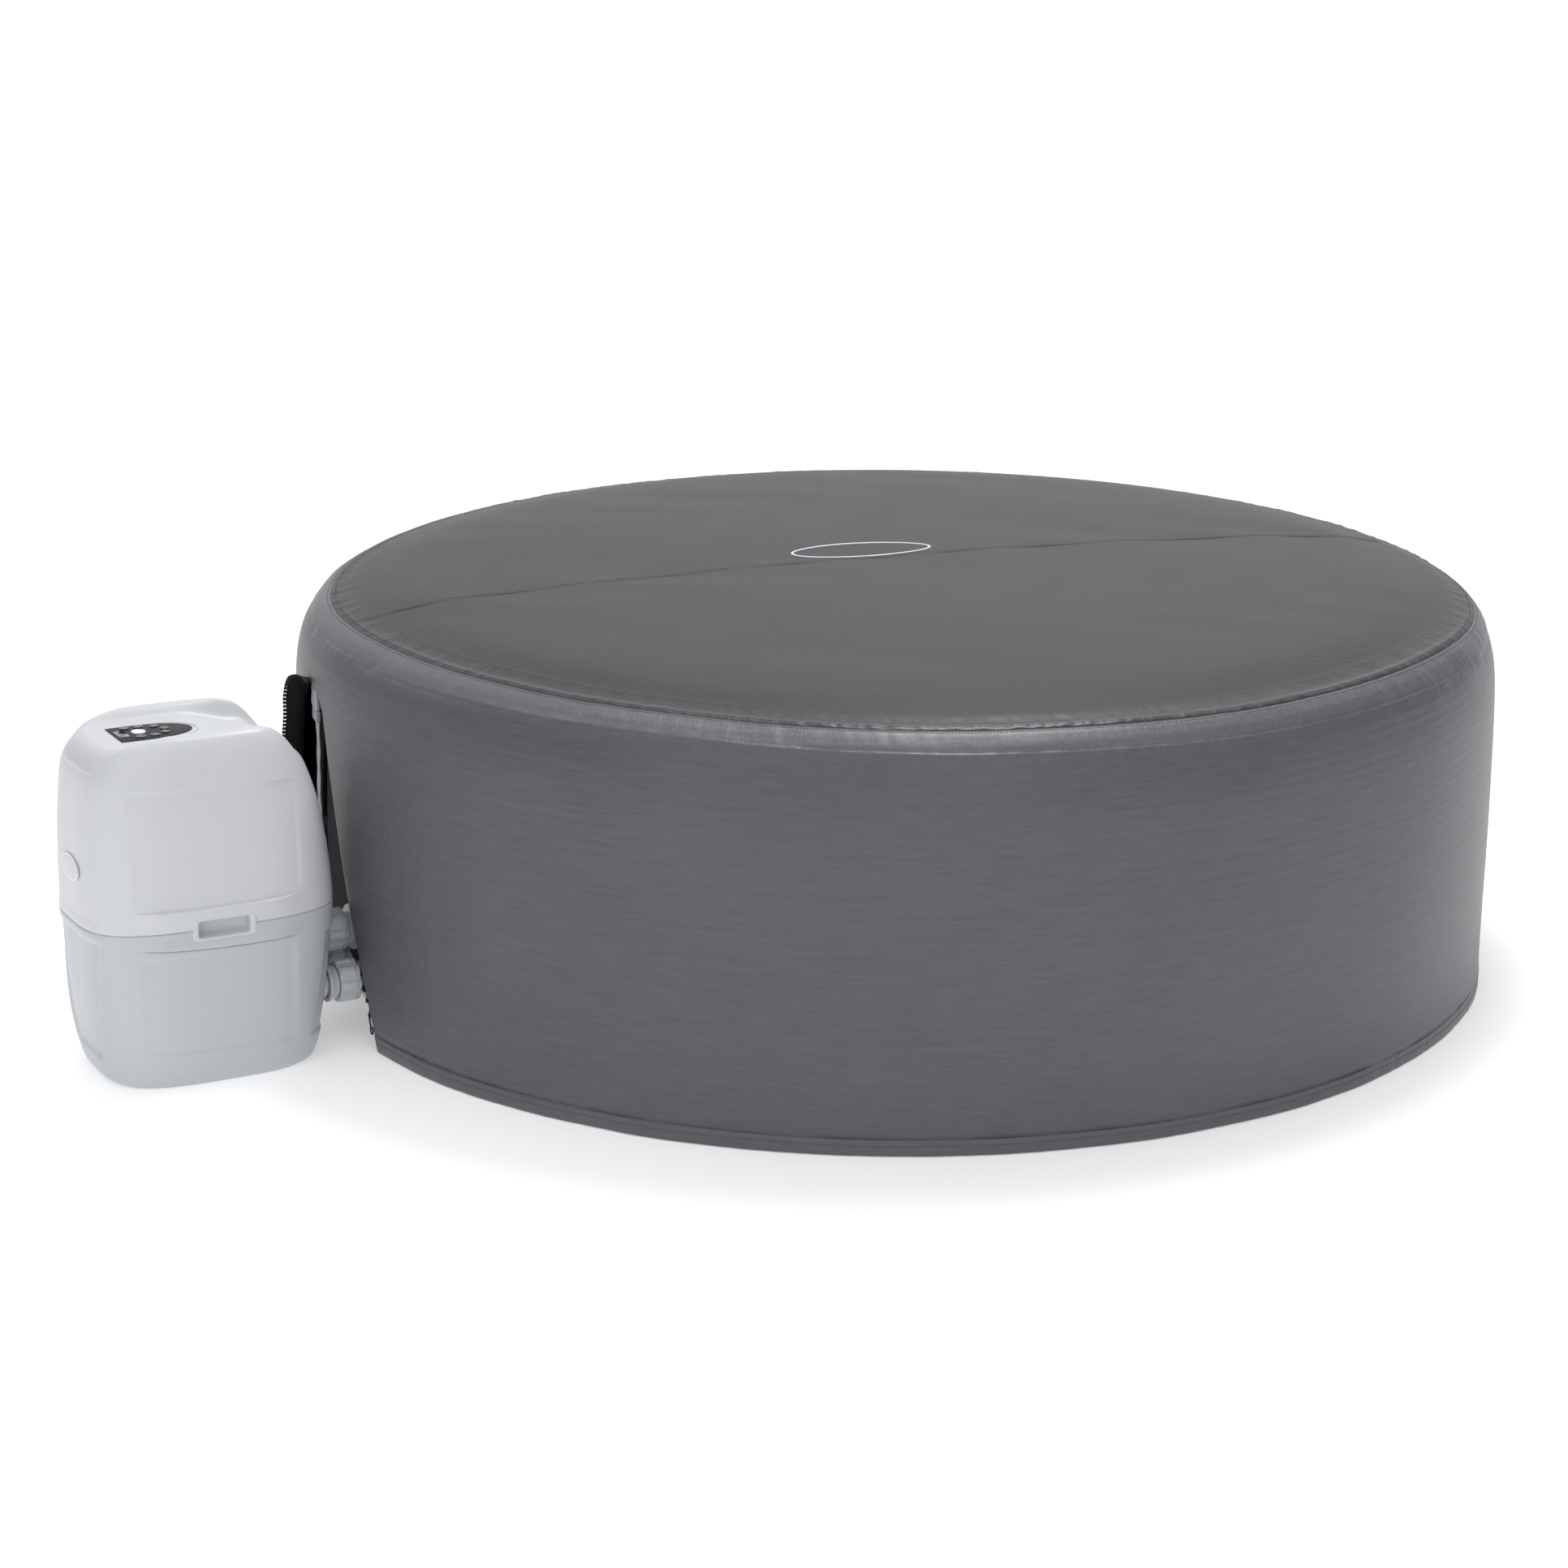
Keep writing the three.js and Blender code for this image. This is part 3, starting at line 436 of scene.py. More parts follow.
# ---------------------------------------------------------------- the cover's section line
BASE = catmull([(.973, 0), (.9745, .05), (.9775, .13), (.980, .25), (.9805, .36), (.980, .45), (.9775, .515), (.972, .55), (.9615, .5835),
                (.9455, .606), (.930, .6170), (.914, .6240), (.893, .6300), (.872, .6345), (.855, .6385), (.83, .6435), (.81, .6468), (.79, .649), (.74, .6532),
                (.60, .6605), (.40, .6672), (.20, .6709), (.0, .672)], 24)
BS = np.concatenate([[0], np.cumsum(np.linalg.norm(np.diff(BASE, axis=0), axis=1))])
BT = np.gradient(BASE, BS, axis=0); BT /= np.linalg.norm(BT, axis=1)[:, None]
BN = np.column_stack([BT[:, 1], -BT[:, 0]])          # outward normal (r, z)
LEN = BS[-1]
S_SEAM0 = float(np.interp(-.916, -BASE[:, 0][BS > .5], BS[BS > .5]))
Z_OF_S = lambda s: np.interp(s, BS, BASE[:, 1])


def s_of_z(z): return float(np.interp(z, BASE[:, 1], BS))


_SH = np.array([(-230, 0), (-215, 3), (-200, 5), (-190, 0), (-185, -8), (-165, -14), (-150, -14), (-135, -12), (-119, -2), (-100, 0), (-90, 6), (-75, 7), (-60, 10), (-50, 16), (-40, 28), (-30, 29), (-15, 25), (0, 20), (30, 8), (60, 0), (129, 0)], float)


def seam_shift(psi):
    """metres towards the ground by which the seam sits off its nominal line (hand-sewn, pulled unevenly)"""
    p = (np.asarray(psi, float) + 230) % 360 - 230
    return np.interp(p, _SH[:, 0], _SH[:, 1]) / 1000


def s_seam(psi):
    k = 5
    return S_SEAM0 - np.mean([seam_shift(np.asarray(psi) + d) for d in (-8, -4, 0, 4, 8)], axis=0)


_FX = np.array([-.16, -.115, -.085, -.062, -.052, -.0485, -.0462, -.0430, -.036, -.028, -.018, -.008, -.0030, -.0012, 0, .0012, .0030, .0060, .0080, .0092, .0104, .0125, .016, .021, .028, .037, .044, .052, .07])
_FY = np.array([0, .0, .3, 1.0, 2.1, 2.7, 2.5, .9, -.4, -.9, -.7, .1, .3, -.1, -.7, -.1, .5, .9, 1.1, .7, 1.1, .9, .1, -1.2, -1.0, 0, .8, .2, 0]) / 1000


def cover_point(psi, s, amp=1.0):
    """surface of the cover at the angle psi (degrees) and distance s along the section from the ground (arrays of one shape)"""
    psi = np.asarray(psi, float); s = np.asarray(s, float)
    x = s - s_seam(psi)
    r = np.interp(s, BS, BASE[:, 0]); z = np.interp(s, BS, BASE[:, 1])
    nr = np.interp(s, BS, BN[:, 0]); nz = np.interp(s, BS, BN[:, 1])
    fl = np.exp(-((((psi + 106 + 180) % 360) - 180) / 64.) ** 4)
    off = np.interp(x, _FX, _FY) * (.45 + .55 * fl)
    # away from the front the shoulder is rounder
    off = off + (1 - fl) * (-.0018 * np.exp(-((x + .050) / .017) ** 2) + .0012 * np.exp(-((x + .018) / .018) ** 2))
    aa_ = psi / 360 * (TAU * .93)
    cr_ = np.exp(-((x + .0485) / .0075) ** 2)
    off = off - cr_ * .0013 * np.clip(.55 + .9 * noise1(aa_, .10, TAU * .93, 61, 2) + .5 * (1 - np.exp(-((((psi + 118 + 180) % 360) - 180) / 42.) ** 2)), 0, 1.3)
    off = off + cr_ * .0006 * noise1(aa_, .016, TAU * .93, 62, 2)
    a = psi / 360 * (TAU * .93)           # metres along the seam
    tot = TAU * .93
    front = np.exp(-((((psi + 119 + 180) % 360) - 180) / 95.) ** 2)
    # gathers below the seam, soft over the band, fading under the crease
    e1 = np.exp(-((x + .020) / .022) ** 2) + .35 * np.exp(-((x + .052) / .03) ** 2)
    loc = .55 + .45 * noise1(a, .42, tot, 21)
    g = noise1(a + .12 * x, .017, tot, 3, 2) * .85 + noise1(a - .2 * x, .045, tot, 4) * .9
    e1 = e1 * (.35 + .65 * fl)
    off = off + amp * e1 * loc * g * .00105
    # soft larger puckers in the band, and a few deep ones
    off = off + amp * np.exp(-((x + .034) / .034) ** 2) * noise1(a, .13, tot, 5, 2) * .0011
    # pulled stitches along the seam ridge
    e2 = np.exp(-((x - .009) / .007) ** 2)
    off = off + amp * e2 * (noise1(a, .011, tot, 7, 2) * .0008 + noise1(a, .06, tot, 8) * .0005)
    e3 = np.exp(-((x - .026) / .014) ** 2)
    off = off + amp * e3 * (noise1(a + .3 * x, .022, tot, 9, 2) * .0007)
    # long gentle waves of the side panel
    side = smooth01(.0, .06, s) * (1 - smooth01(-.16, -.05, x))
    off = off + amp * side * (noise1(a * 1.0 + .15 * s, .55, tot, 11) * .0021 + noise1(a - .25 * s, .19, tot, 12) * .0008)
    # lower edge: shallow polygon where the hem stands on the floor
    e4 = 1 - smooth01(0, .16, s)
    off = off + amp * e4 * (noise1(a, .62, tot, 13) * .0035 + noise1(a, .12, tot, 14) * .0012 * (1 - smooth01(0, .07, s)))
    # the top: weak ripples running across it
    top = smooth01(.05, .12, x)
    px, py = r * np.cos(np.radians(psi)), r * np.sin(np.radians(psi))
    off = off + amp * top * (.0009 * np.sin(px * 9 + 1.3 + 2 * np.sin(py * 3)) * np.sin(py * 6.3 + .4) + .0004 * np.sin(px * 27 + 3 * np.sin(py * 11)))
    # folds in the side near the opening edge
    d = ((psi - 186 + 180) % 360 - 180)
    e5 = .35 * np.exp(-((d - 9) / 9.) ** 2) * smooth01(.02, .2, s) * (1 - smooth01(-.2, -.09, x))
    off = off + amp * e5 * (np.sin((d + 1.6 * np.sin(s * 7 + .5)) * .8) * .0012 + np.sin(d * 1.9 + s * 9) * .0007)
    # the near edge of the opening is drawn inwards by the pull of the closure
    e6 = np.exp(-(np.clip(d + 2, 0, 99) / 4.) ** 2) * smooth01(.2, .42, s) * (1 - smooth01(.50, .56, s))
    e6 = np.where(d < 60, e6, 0) * smooth01(-110, -40, d)
    off = off - amp * e6 * .0015
    r = r + nr * off; z = z + nz * off
    return np.stack([r * np.cos(np.radians(psi)), r * np.sin(np.radians(psi)), np.maximum(z, 0.0006)], -1), x, (e1 + e2 * 1.2 + e3 * .8) * (.22 + .78 * fl)

# ---------------------------------------------------------------- skirt
_NE = np.array([(-.02, -.118), (.50, .0692), (.506, .0735), (.516, .088), (.523, .101), (.529, .122), (.533, .142), (.535, .155)])
_FE = np.array([(-.02, .310), (.03, .300), (.505, .2066), (.515, .2035), (.524, .197), (.530, .186), (.5335, .172), (.535, .155)])
R_OF_Z = lambda z: np.interp(z, BASE[:, 1], BASE[:, 0])


def psi_near(z, shift=0.0):
    y = np.interp(z, _NE[:, 0], _NE[:, 1]) + shift
    return 180 - np.degrees(np.arcsin(y / R_OF_Z(z)))


def psi_far(z, shift=0.0):
    y = np.interp(z, _FE[:, 0], _FE[:, 1]) + shift
    return 180 - np.degrees(np.arcsin(y / R_OF_Z(z)))


S_APEX = s_of_z(.535)
HEM_Z = .0265


def skirt_grid(nu, svals_low, t_high, psi_pad=0.0):
    u = np.linspace(0, 1, nu)
    PSI, S = [], []
    for s in svals_low:
        z = Z_OF_S(s)
        a, b = psi_near(z), psi_far(z) + 360
        PSI.append(a + (b - a) * u); S.append(np.full(nu, s))
    a = psi_near(.535)
    for t in t_high:
        p = a + 360 * u
        PSI.append(p); S.append(S_APEX + (s_seam(p) - S_APEX) * t)
    return np.array(PSI), np.array(S)


NU = 1800
s_low = np.unique(np.concatenate([np.linspace(s_of_z(.0245), s_of_z(.50), 34), [s_of_z(z) for z in (.506, .511, .516, .520, .524, .527, .530, .532, .5338)], [S_APEX]]))
s_low = s_low[s_low <= S_APEX + 1e-9]
X_TOT = float(S_SEAM0 - S_APEX)
xs_high = np.concatenate([np.linspace(-X_TOT, -.056, 8)[1:], np.linspace(-.056, -.040, 14)[1:], np.linspace(-.040, -.008, 13)[1:], [-.0062, -.0048, -.0036, -.0026, -.0016, -.0008, 0.0]])
t_high = (xs_high + X_TOT) / X_TOT
PSI, S = skirt_grid(NU + 1, s_low, t_high)
P, X, PK = cover_point(PSI, S)
uv = np.stack([PSI / 360 * TAU * .975, S], -1)


def add_attr(ob, name, vals):
    at = ob.data.attributes.new(name, "FLOAT", "POINT"); at.data.foreach_set("value", np.asarray(vals, np.float32).ravel())


def shell(name, P, uv, pk, mats, t=.0025, flip=False, weld=0.0):
    nr, nc = P.shape[:2]
    ob = mesh(name, P, quads(nr, nc, False, flip), mats, uv=uv)
    add_attr(ob, "pucker", pk)
    if weld:
        bm = bmesh.new(); bm.from_mesh(ob.data)
        bmesh.ops.remove_doubles(bm, verts=[v for v in bm.verts if v.is_boundary], dist=weld)
        bm.to_mesh(ob.data); bm.free()
    if t:
        so = ob.modifiers.new("thick", "SOLIDIFY"); so.thickness = t; so.offset = -1; so.use_even_offset = False
        if len(ob.data.materials) > 1:
            so.material_offset = 1; so.material_offset_rim = 1
    return ob


def bake(ob):
    """applies the modifiers"""
    dg = bpy.context.evaluated_depsgraph_get()
    ev = ob.evaluated_get(dg)
    me = bpy.data.meshes.new_from_object(ev, preserve_all_data_layers=True, depsgraph=dg)
    old = ob.data; ob.modifiers.clear(); ob.data = me; bpy.data.meshes.remove(old)
    return ob


skirt = shell("skirt_panel", P, uv, PK, [M_COVER, M_LINING], weld=1e-5)
bake(skirt)
put(skirt, "cover", ["skirt"])

# ---------------------------------------------------------------- hem binding: a folded strip round the lower edge
u = np.linspace(0, 1, NU + 1)
hem_sec = np.array([(-.0042, .0245), (-.0046, .018), (-.0046, .006), (-.0036, .0022), (-.001, .0008), (.0006, .0012), (.0013, .004), (.0015, .009), (.0013, .0148), (.0008, .0166), (.0013, .0184), (.0012, .0222), (.0008, .0250), (.0002, .0262), (-.0006, .0264)])
rowsP, rowsU = [], []
vv = 0
for k, (o, z) in enumerate(hem_sec):
    a, b = psi_near(z), psi_far(z) + 360
    ps = a + (b - a) * u
    p0, _, _ = cover_point(ps, np.full_like(ps, max(z, .001)))
    al = ps / 360 * TAU * .975
    w = noise1(al, .02, TAU * .975, 31, 2) * .00045 + noise1(al + z * 3, .085, TAU * .975, 32) * .0007
    w = w * (1 if o > 0 else .3)
    rr = np.linalg.norm(p0[:, :2], axis=1) + o + w
    rowsP.append(np.stack([rr * np.cos(np.radians(ps)), rr * np.sin(np.radians(ps)), np.full_like(ps, z)], -1))
    if k: vv += math.hypot(o - hem_sec[k - 1][0], z - hem_sec[k - 1][1])
    rowsU.append(np.stack([al, np.full_like(al, vv)], -1))
HP = np.array(rowsP)
hemF = quads(len(hem_sec), NU + 1, True, True)
hemF = quads(len(hem_sec), NU + 1, False, False)
nr, nc = HP.shape[:2]
closing = np.stack([(nr - 1) * nc + np.arange(nc - 1), (nr - 1) * nc + np.arange(1, nc), np.arange(1, nc), np.arange(nc - 1)], -1)
F = np.concatenate([hemF, closing])
hem = mesh("hem_band", HP, F, [M_BAND], uv=np.array(rowsU))
bm = bmesh.new(); bm.from_mesh(hem.data)
bmesh.ops.holes_fill(bm, edges=[e for e in bm.edges if e.is_boundary])
bmesh.ops.recalc_face_normals(bm, faces=bm.faces); bm.to_mesh(hem.data); bm.free()
add_attr(hem, "pucker", np.full(len(hem.data.vertices), .55))
put(hem, "cover", ["hem_binding"])


def stitches(name, line, nrm, pitch, length, r, body, mat=M_THREAD, sink=.0):
    """separate thread loops along a line of points with normals"""
    line = np.asarray(line); d = np.concatenate([[0], np.cumsum(np.linalg.norm(np.diff(line, axis=0), axis=1))])
    n = int(d[-1] / pitch)
    c = (np.arange(n) + .5) * pitch
    f4 = np.array([0, .5, 1.0, 1.5]) * pi
    ip = lambda t, A: np.stack([np.interp(t, d, A[:, i]) for i in range(3)], -1)
    Vs = []
    for dt, dr, hh in ((-.5, .35, -.0002), (-.3, 1, r * .7), (0, 1.1, r * 1.0), (.3, 1, r * .7), (.5, .35, -.0002)):
        p = ip(c + dt * length, line); nn = ip(c, nrm); nn /= np.linalg.norm(nn, axis=1)[:, None]
        tt = ip(c + .4 * length, line) - ip(c - .4 * length, line); tt /= np.linalg.norm(tt, axis=1)[:, None]
        ww = np.cross(tt, nn)
        p = p + nn * (hh - sink)
        Vs.append(p[:, None] + dr * r * (nn[:, None] * np.cos(f4)[None, :, None] + ww[:, None] * np.sin(f4)[None, :, None]))
    V = np.stack(Vs, 1)                       # n, 5, 4, 3
    base = (np.arange(n) * 20)[:, None, None]
    k = np.arange(4)[:, None]; j = np.arange(4)[None, :]; j2 = (j + 1) % 4
    q = np.stack([k * 4 + j, k * 4 + j2, (k + 1) * 4 + j2, (k + 1) * 4 + j], -1).reshape(-1, 4)
    caps = np.array([[3, 2, 1, 0], [16, 17, 18, 19]])
    F = (np.concatenate([q, caps])[None] + base).reshape(-1, 4)
    ob = mesh(name, V.reshape(-1, 3), F, [mat], recalc=True)
    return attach(ob, body)


def ring_line(x, lift=0.0, n=3600, a=-180, b=180):
    ps = np.linspace(a, b, n)
    s = s_seam(ps) + x
    p, _, _ = cover_point(ps, s)
    p2, _, _ = cover_point(ps, s + .0015)
    t = p2 - p; t /= np.linalg.norm(t, axis=1)[:, None]
    c = np.stack([-np.sin(np.radians(ps)), np.cos(np.radians(ps)), 0 * ps], -1)
    nn = np.cross(c, t); nn /= np.linalg.norm(nn, axis=1)[:, None]
    return p + nn * lift, nn


# welt cord in the groove of the seam, and two rows of stitching on the felled edge
pl, nl = ring_line(0.0002, .0001, 1800)
pl = pl[:-1]
v, f = tube(pl, .0006, 6, closed=True)
welt = mesh("perimeter_welt_cord", v, f, [M_THREAD]); put(welt, "cover", ["perimeter_welt"])
a, b = ring_line(.0088, .0001); stitches("seam_stitch_row_1", a, b, .0046, .0034, .00042, "cover")
a, b = ring_line(-.0052, .0001); stitches("seam_stitch_row_2", a, b, .0046, .0034, .00038, "cover")

# ---------------------------------------------------------------- two top panels
FOLD = -8.0
rows_x = np.concatenate([[0, .0008, .0016, .0026, .0036, .0048, .006, .0070, .0080, .0086, .0092, .0098, .0104, .0112, .0120], np.arange(.0132, .030, .0016), np.arange(.031, .072, .003)])


def top_panel(name, a0, a1, mat, node, sgn):
    nc = (901)
    ps = np.linspace(a0, a1, nc)
    Srow = [s_seam(ps) + x for x in rows_x]
    s_end = Srow[-1]
    n_in = 54
    for t in np.linspace(0, 1, n_in + 1)[1:]:
        Srow.append(s_end + (LEN - .0008 - s_end) * t)
    Srow = np.array(Srow); PP = np.repeat(ps[None], len(Srow), 0)
    P, X, PK = cover_point(PP, Srow)
    al = np.radians(FOLD)
    cu, cv = P[..., 0] * cos(al) + P[..., 1] * sin(al), -P[..., 0] * sin(al) + P[..., 1] * cos(al)
    # the join lies in a shallow furrow
    P[..., 2] -= .0001 * np.exp(-(cv / .012) ** 2) * smooth01(.03, .09, X)
    # faint wandering wrinkles near the join and at its ends
    P[..., 2] += .0006 * np.exp(-(cv / .05) ** 2) * np.sin(cu * 34 + 2 * np.sin(cu * 7)) * smooth01(.03, .10, X)
    ob = shell(name, P, np.stack([cu, cv], -1), PK * .8, [mat, M_LINING])
    bm = bmesh.new(); bm.from_mesh(ob.data)
    last = [v for v in bm.verts if v.is_boundary and v.co.xy.length < .0012]
    if len(last) > 3:
        bmesh.ops.pointmerge(bm, verts=last, merge_co=(0, 0, .672))
    bm.to_mesh(ob.data); bm.free()
    bake(ob)
    return put(ob, "cover", [node])


# the top panels use the darker painted-shade copies of the side fabric
top_front = top_panel("cover_top_panel_front", 172.0, 352.0, M_TOP_PAINTED_DARKER, "cover_top_front", -1)
top_back = top_panel("cover_top_panel_back", -8.0, 172.0, M_TOPB_PAINTED_DARKER, "cover_top_back", 1)


def z_top(px, py):
    r = math.hypot(px, py); ps = math.degrees(math.atan2(py, px))
    s = float(np.interp(-r, -BASE[::1, 0][BS > .62], BS[BS > .62]))
    p, _, _ = cover_point(np.array([ps]), np.array([s]))
    return p[0, 2]


# join strip across the top
line = []
for t in np.linspace(-.884, .884, 700):
    x0, y0 = t * cos(rad(FOLD)), t * sin(rad(FOLD))
    line.append((x0, y0, z_top(x0, y0)))
line = np.array(line)
side = np.array([-sin(rad(FOLD)), cos(rad(FOLD)), 0])
along = np.linspace(0, 1.77, 700)
wob = noise1(along, .05, 1.77, 41, 2) * .0006
strip = []
for o, h in ((-.0066, -.0012), (-.0060, .0001), (-.0048, .0003), (-.0015, .0003), (-.0004, .0001), (.0006, .0008), (.0030, .0009), (.0048, .0006), (.0056, .0001), (.0058, -.0012)):
    e = min(1, 1)
    strip.append(line + side * (o + wob[:, None]) + np.array([0, 0, 1]) * ((h if h < 0 else h * .42) + (noise1(along, .012, 1.77, 42) * .00012)[:, None]))
strip = np.array(strip)
sv = quads(len(strip), 700)
nr, nc = strip.shape[:2]
closing = np.stack([(nr - 1) * nc + np.arange(nc - 1), (nr - 1) * nc + np.arange(1, nc), np.arange(1, nc), np.arange(nc - 1)], -1)
# the strip uses the darker painted-shade copy of the top fabric
join = mesh("top_join_strip", strip, np.concatenate([sv, closing]), [M_TOP_PAINTED_DARKER], uv=np.stack([np.repeat(along[None], nr, 0), np.repeat((np.arange(nr) * .0015)[:, None], nc, 1)], -1))
bm = bmesh.new(); bm.from_mesh(join.data); bmesh.ops.holes_fill(bm, edges=[e for e in bm.edges if e.is_boundary]); bmesh.ops.recalc_face_normals(bm, faces=bm.faces); bm.to_mesh(join.data); bm.free()
add_attr(join, "pucker", np.full(len(join.data.vertices), .5))
put(join, "cover")
up = np.repeat(np.array([[0, 0, 1.0]]), 700, 0)
stitches("join_stitch_row_1", line + side * .0035 + up * .0003, up, .0046, .0034, .0004, "cover")
stitches("join_stitch_row_2", line - side * .0040 + up * .0001, up, .0046, .0034, .0004, "cover")

# hem stitching
ps = np.linspace(float(psi_near(.0166)), float(psi_far(.0166)) + 360, 3600)
p0, _, _ = cover_point(ps, np.full_like(ps, .0166)); al = ps / 360 * TAU * .975
rr = np.linalg.norm(p0[:, :2], axis=1) + .0009 + noise1(al, .02, TAU * .975, 31, 2) * .00045 + noise1(al + .05, .085, TAU * .975, 32) * .0007
hl = np.stack([rr * np.cos(np.radians(ps)), rr * np.sin(np.radians(ps)), np.full_like(ps, .0166)], -1)
stitches("hem_stitch_row", hl, np.stack([np.cos(np.radians(ps)), np.sin(np.radians(ps)), 0 * ps], -1), .0048, .0036, .0004, "cover")

# printed ring on the top: a thin blank oval
def draped_ring(cx, cy, a, b, deg, w, n=160, lift=.0011, t=.0004):
    f = np.arange(n) / n * TAU
    V = []
    for k, (da, hh) in enumerate(((-w / 2, -.0008), (-w / 2, 1), (w / 2, 1), (w / 2, -.0008))):
        x, y = (a + da) * np.cos(f), (b + da) * np.sin(f)
        X, Y = cx + x * cos(rad(deg)) - y * sin(rad(deg)), cy + x * sin(rad(deg)) + y * cos(rad(deg))
        V.append([(px, py, z_top(px, py) + (lift if hh == 1 else hh)) for px, py in zip(X, Y)])
    V = np.array(V)
    F = quads(4, n, True)
    c = np.arange(n); c2 = (c + 1) % n
    F = np.concatenate([F, np.stack([3 * n + c, 3 * n + c2, c2, c], -1)])
    return V.reshape(-1, 3), F


v, f = draped_ring(-.032, .056, .117, .046, -12, .0042)
ringp = mesh("printed_oval_ring", v, f, [M_PRINT], recalc=True); put(ringp, "cover", ["oval_print"])

# ---------------------------------------------------------------- the opening: closure tapes, teeth, facing
def skin(psi, z, inset=0.0):
    """points on the skirt at the angle psi and height z, inset inwards"""
    psi = np.atleast_1d(np.asarray(psi, float)); z = np.atleast_1d(np.asarray(z, float))
    s = np.interp(z, BASE[:, 1], BS)
    p, _, _ = cover_point(psi, s)
    e = np.stack([np.cos(np.radians(psi)), np.sin(np.radians(psi)), 0 * psi], -1)
    return p - e * np.asarray(inset)[..., None] if np.ndim(inset) else p - e * inset, e


def cloth(name, P, mat, t=.0014, pk=.4, body="cover", replaces=(), flip=False):
    nr, nc = P.shape[:2]
    d = np.concatenate([np.zeros((1, nc)), np.cumsum(np.linalg.norm(np.diff(P, axis=0), axis=2), 0)])
    e = np.concatenate([np.zeros((nr, 1)), np.cumsum(np.linalg.norm(np.diff(P, axis=1), axis=2), 1)], 1)
    ob = mesh(name, P.reshape(-1, 3), quads(nr, nc, False, flip), [mat], uv=np.stack([e, d], -1).reshape(-1, 2))
    add_attr(ob, "pucker", np.full(nr * nc, pk))
    so = ob.modifiers.new("thick", "SOLIDIFY"); so.thickness = t; so.offset = 0
    bake(ob)
    return put(ob, body, replaces)


def teeth(name, line, ydir, xdir, pitch=.0044, w=.0022, ln=.0050, th=.0030, body="cover"):
    """small moulded teeth in a row; ydir points out of the tape, xdir through its thickness"""
    line = np.asarray(line); d = np.concatenate([[0], np.cumsum(np.linalg.norm(np.diff(line, axis=0), axis=1))])
    n = int(d[-1] / pitch); parts = []
    for i in range(n):
        c = (i + .5) * pitch
        o = np.array([np.interp(c, d, line[:, k]) for k in range(3)])
        yd = np.array([np.interp(c, d, np.broadcast_to(ydir, line.shape)[:, k]) for k in range(3)]); yd /= np.linalg.norm(yd)
        xd = np.array([np.interp(c, d, np.broadcast_to(xdir, line.shape)[:, k]) for k in range(3)])
        xd -= yd * (xd @ yd); xd /= np.linalg.norm(xd)
        zd = np.cross(xd, yd)
        sec = [(-ln * .42, w * .34), (-ln * .1, w * .40), (ln * .18, w * .34), (ln * .3, w * .5), (ln * .5, w * .42), (ln * .58, w * .2)]
        V = []
        for yy, hw in sec:
            for sx, sz in ((-.5, -1), (.5, -1), (.5, 1), (-.5, 1)):
                V.append(o + yd * yy + xd * (sx * th) + zd * (sz * hw))
        k = len(sec)
        F = [tuple(q) for q in quads(k, 4, True)] + [(3, 2, 1, 0), tuple((k - 1) * 4 + j for j in range(4))]
        parts.append((V, F))
    V, F = join_parts(parts)
    ob = mesh(name, V, F, [M_TEETH], smooth=False, recalc=True)
    return put(ob, body)


# near side: facing strip that shows beside the skirt's edge
zz = np.concatenate([np.linspace(.030, .49, 70), np.linspace(.494, .510, 5)])
al_ = np.linspace(0, 1, 7)
wid = np.interp(zz, [.03, .455, .478, .51], [.0006, .0008, .011, .012])
rowsF = []
for z, wd in zip(zz, wid):
    ps0 = float(psi_near(z)); y_off = (al_ - .45) / .55 * wd
    ps = ps0 - np.degrees(np.where(al_ < .45, (al_ - .45) / .45 * .016, y_off) / .975)
    inset = .0022 + .0010 * al_ ** 1.6 * smooth01(.15, .40, z) + .0004 * np.sin(z * 41 + al_ * 2) * al_
    p, e = skin(ps, np.full_like(ps, z), inset)
    rowsF.append(p)
near_facing = cloth("near_facing_strip", np.array(rowsF)[:, ::-1], M_LAPEL, t=.0016, pk=.6)

# near tape, straight so that the slider can run on it
SLz, SLr, LEAN = .058, .966, .0135
SLy = -.100 + (SLz - .030) * .36; SLx = -math.sqrt(SLr ** 2 - SLy ** 2)
ME = T(SLx, SLy, SLz) @ R(-math.degrees(LEAN), "Y") @ R(-math.degrees(math.atan(.36)), "X")
ex, ey, ez = ME[:3, 0], ME[:3, 1], ME[:3, 2]; eo = ME[:3, 3]
zt = np.linspace(-.026, .452, 120); yt = np.linspace(-.0125, .0062, 8)
Pn = np.array([[eo + ex * (.0004 * math.sin(z * 37) * (1 - (y + .0125) / .0187) - .0002) + ey * y + ez * z for y in yt] for z in zt])
near_tape = cloth("near_zip_tape_cloth", Pn, M_TAPE, t=.0012, pk=.3, replaces=["near_zip_tape"])
zl = np.linspace(-.024, .450, 60)
teeth("near_zip_teeth", np.array([eo + ey * .0069 + ez * z for z in zl]), ey, ex, ln=.0046, th=.0031)
# corded edge of the tape behind the teeth
v, f = tube(np.array([eo + ey * .0046 + ez * z for z in zl]), .0009, 8)
put(mesh("near_zip_tape_cord", v, f, [M_TAPE]), "cover")

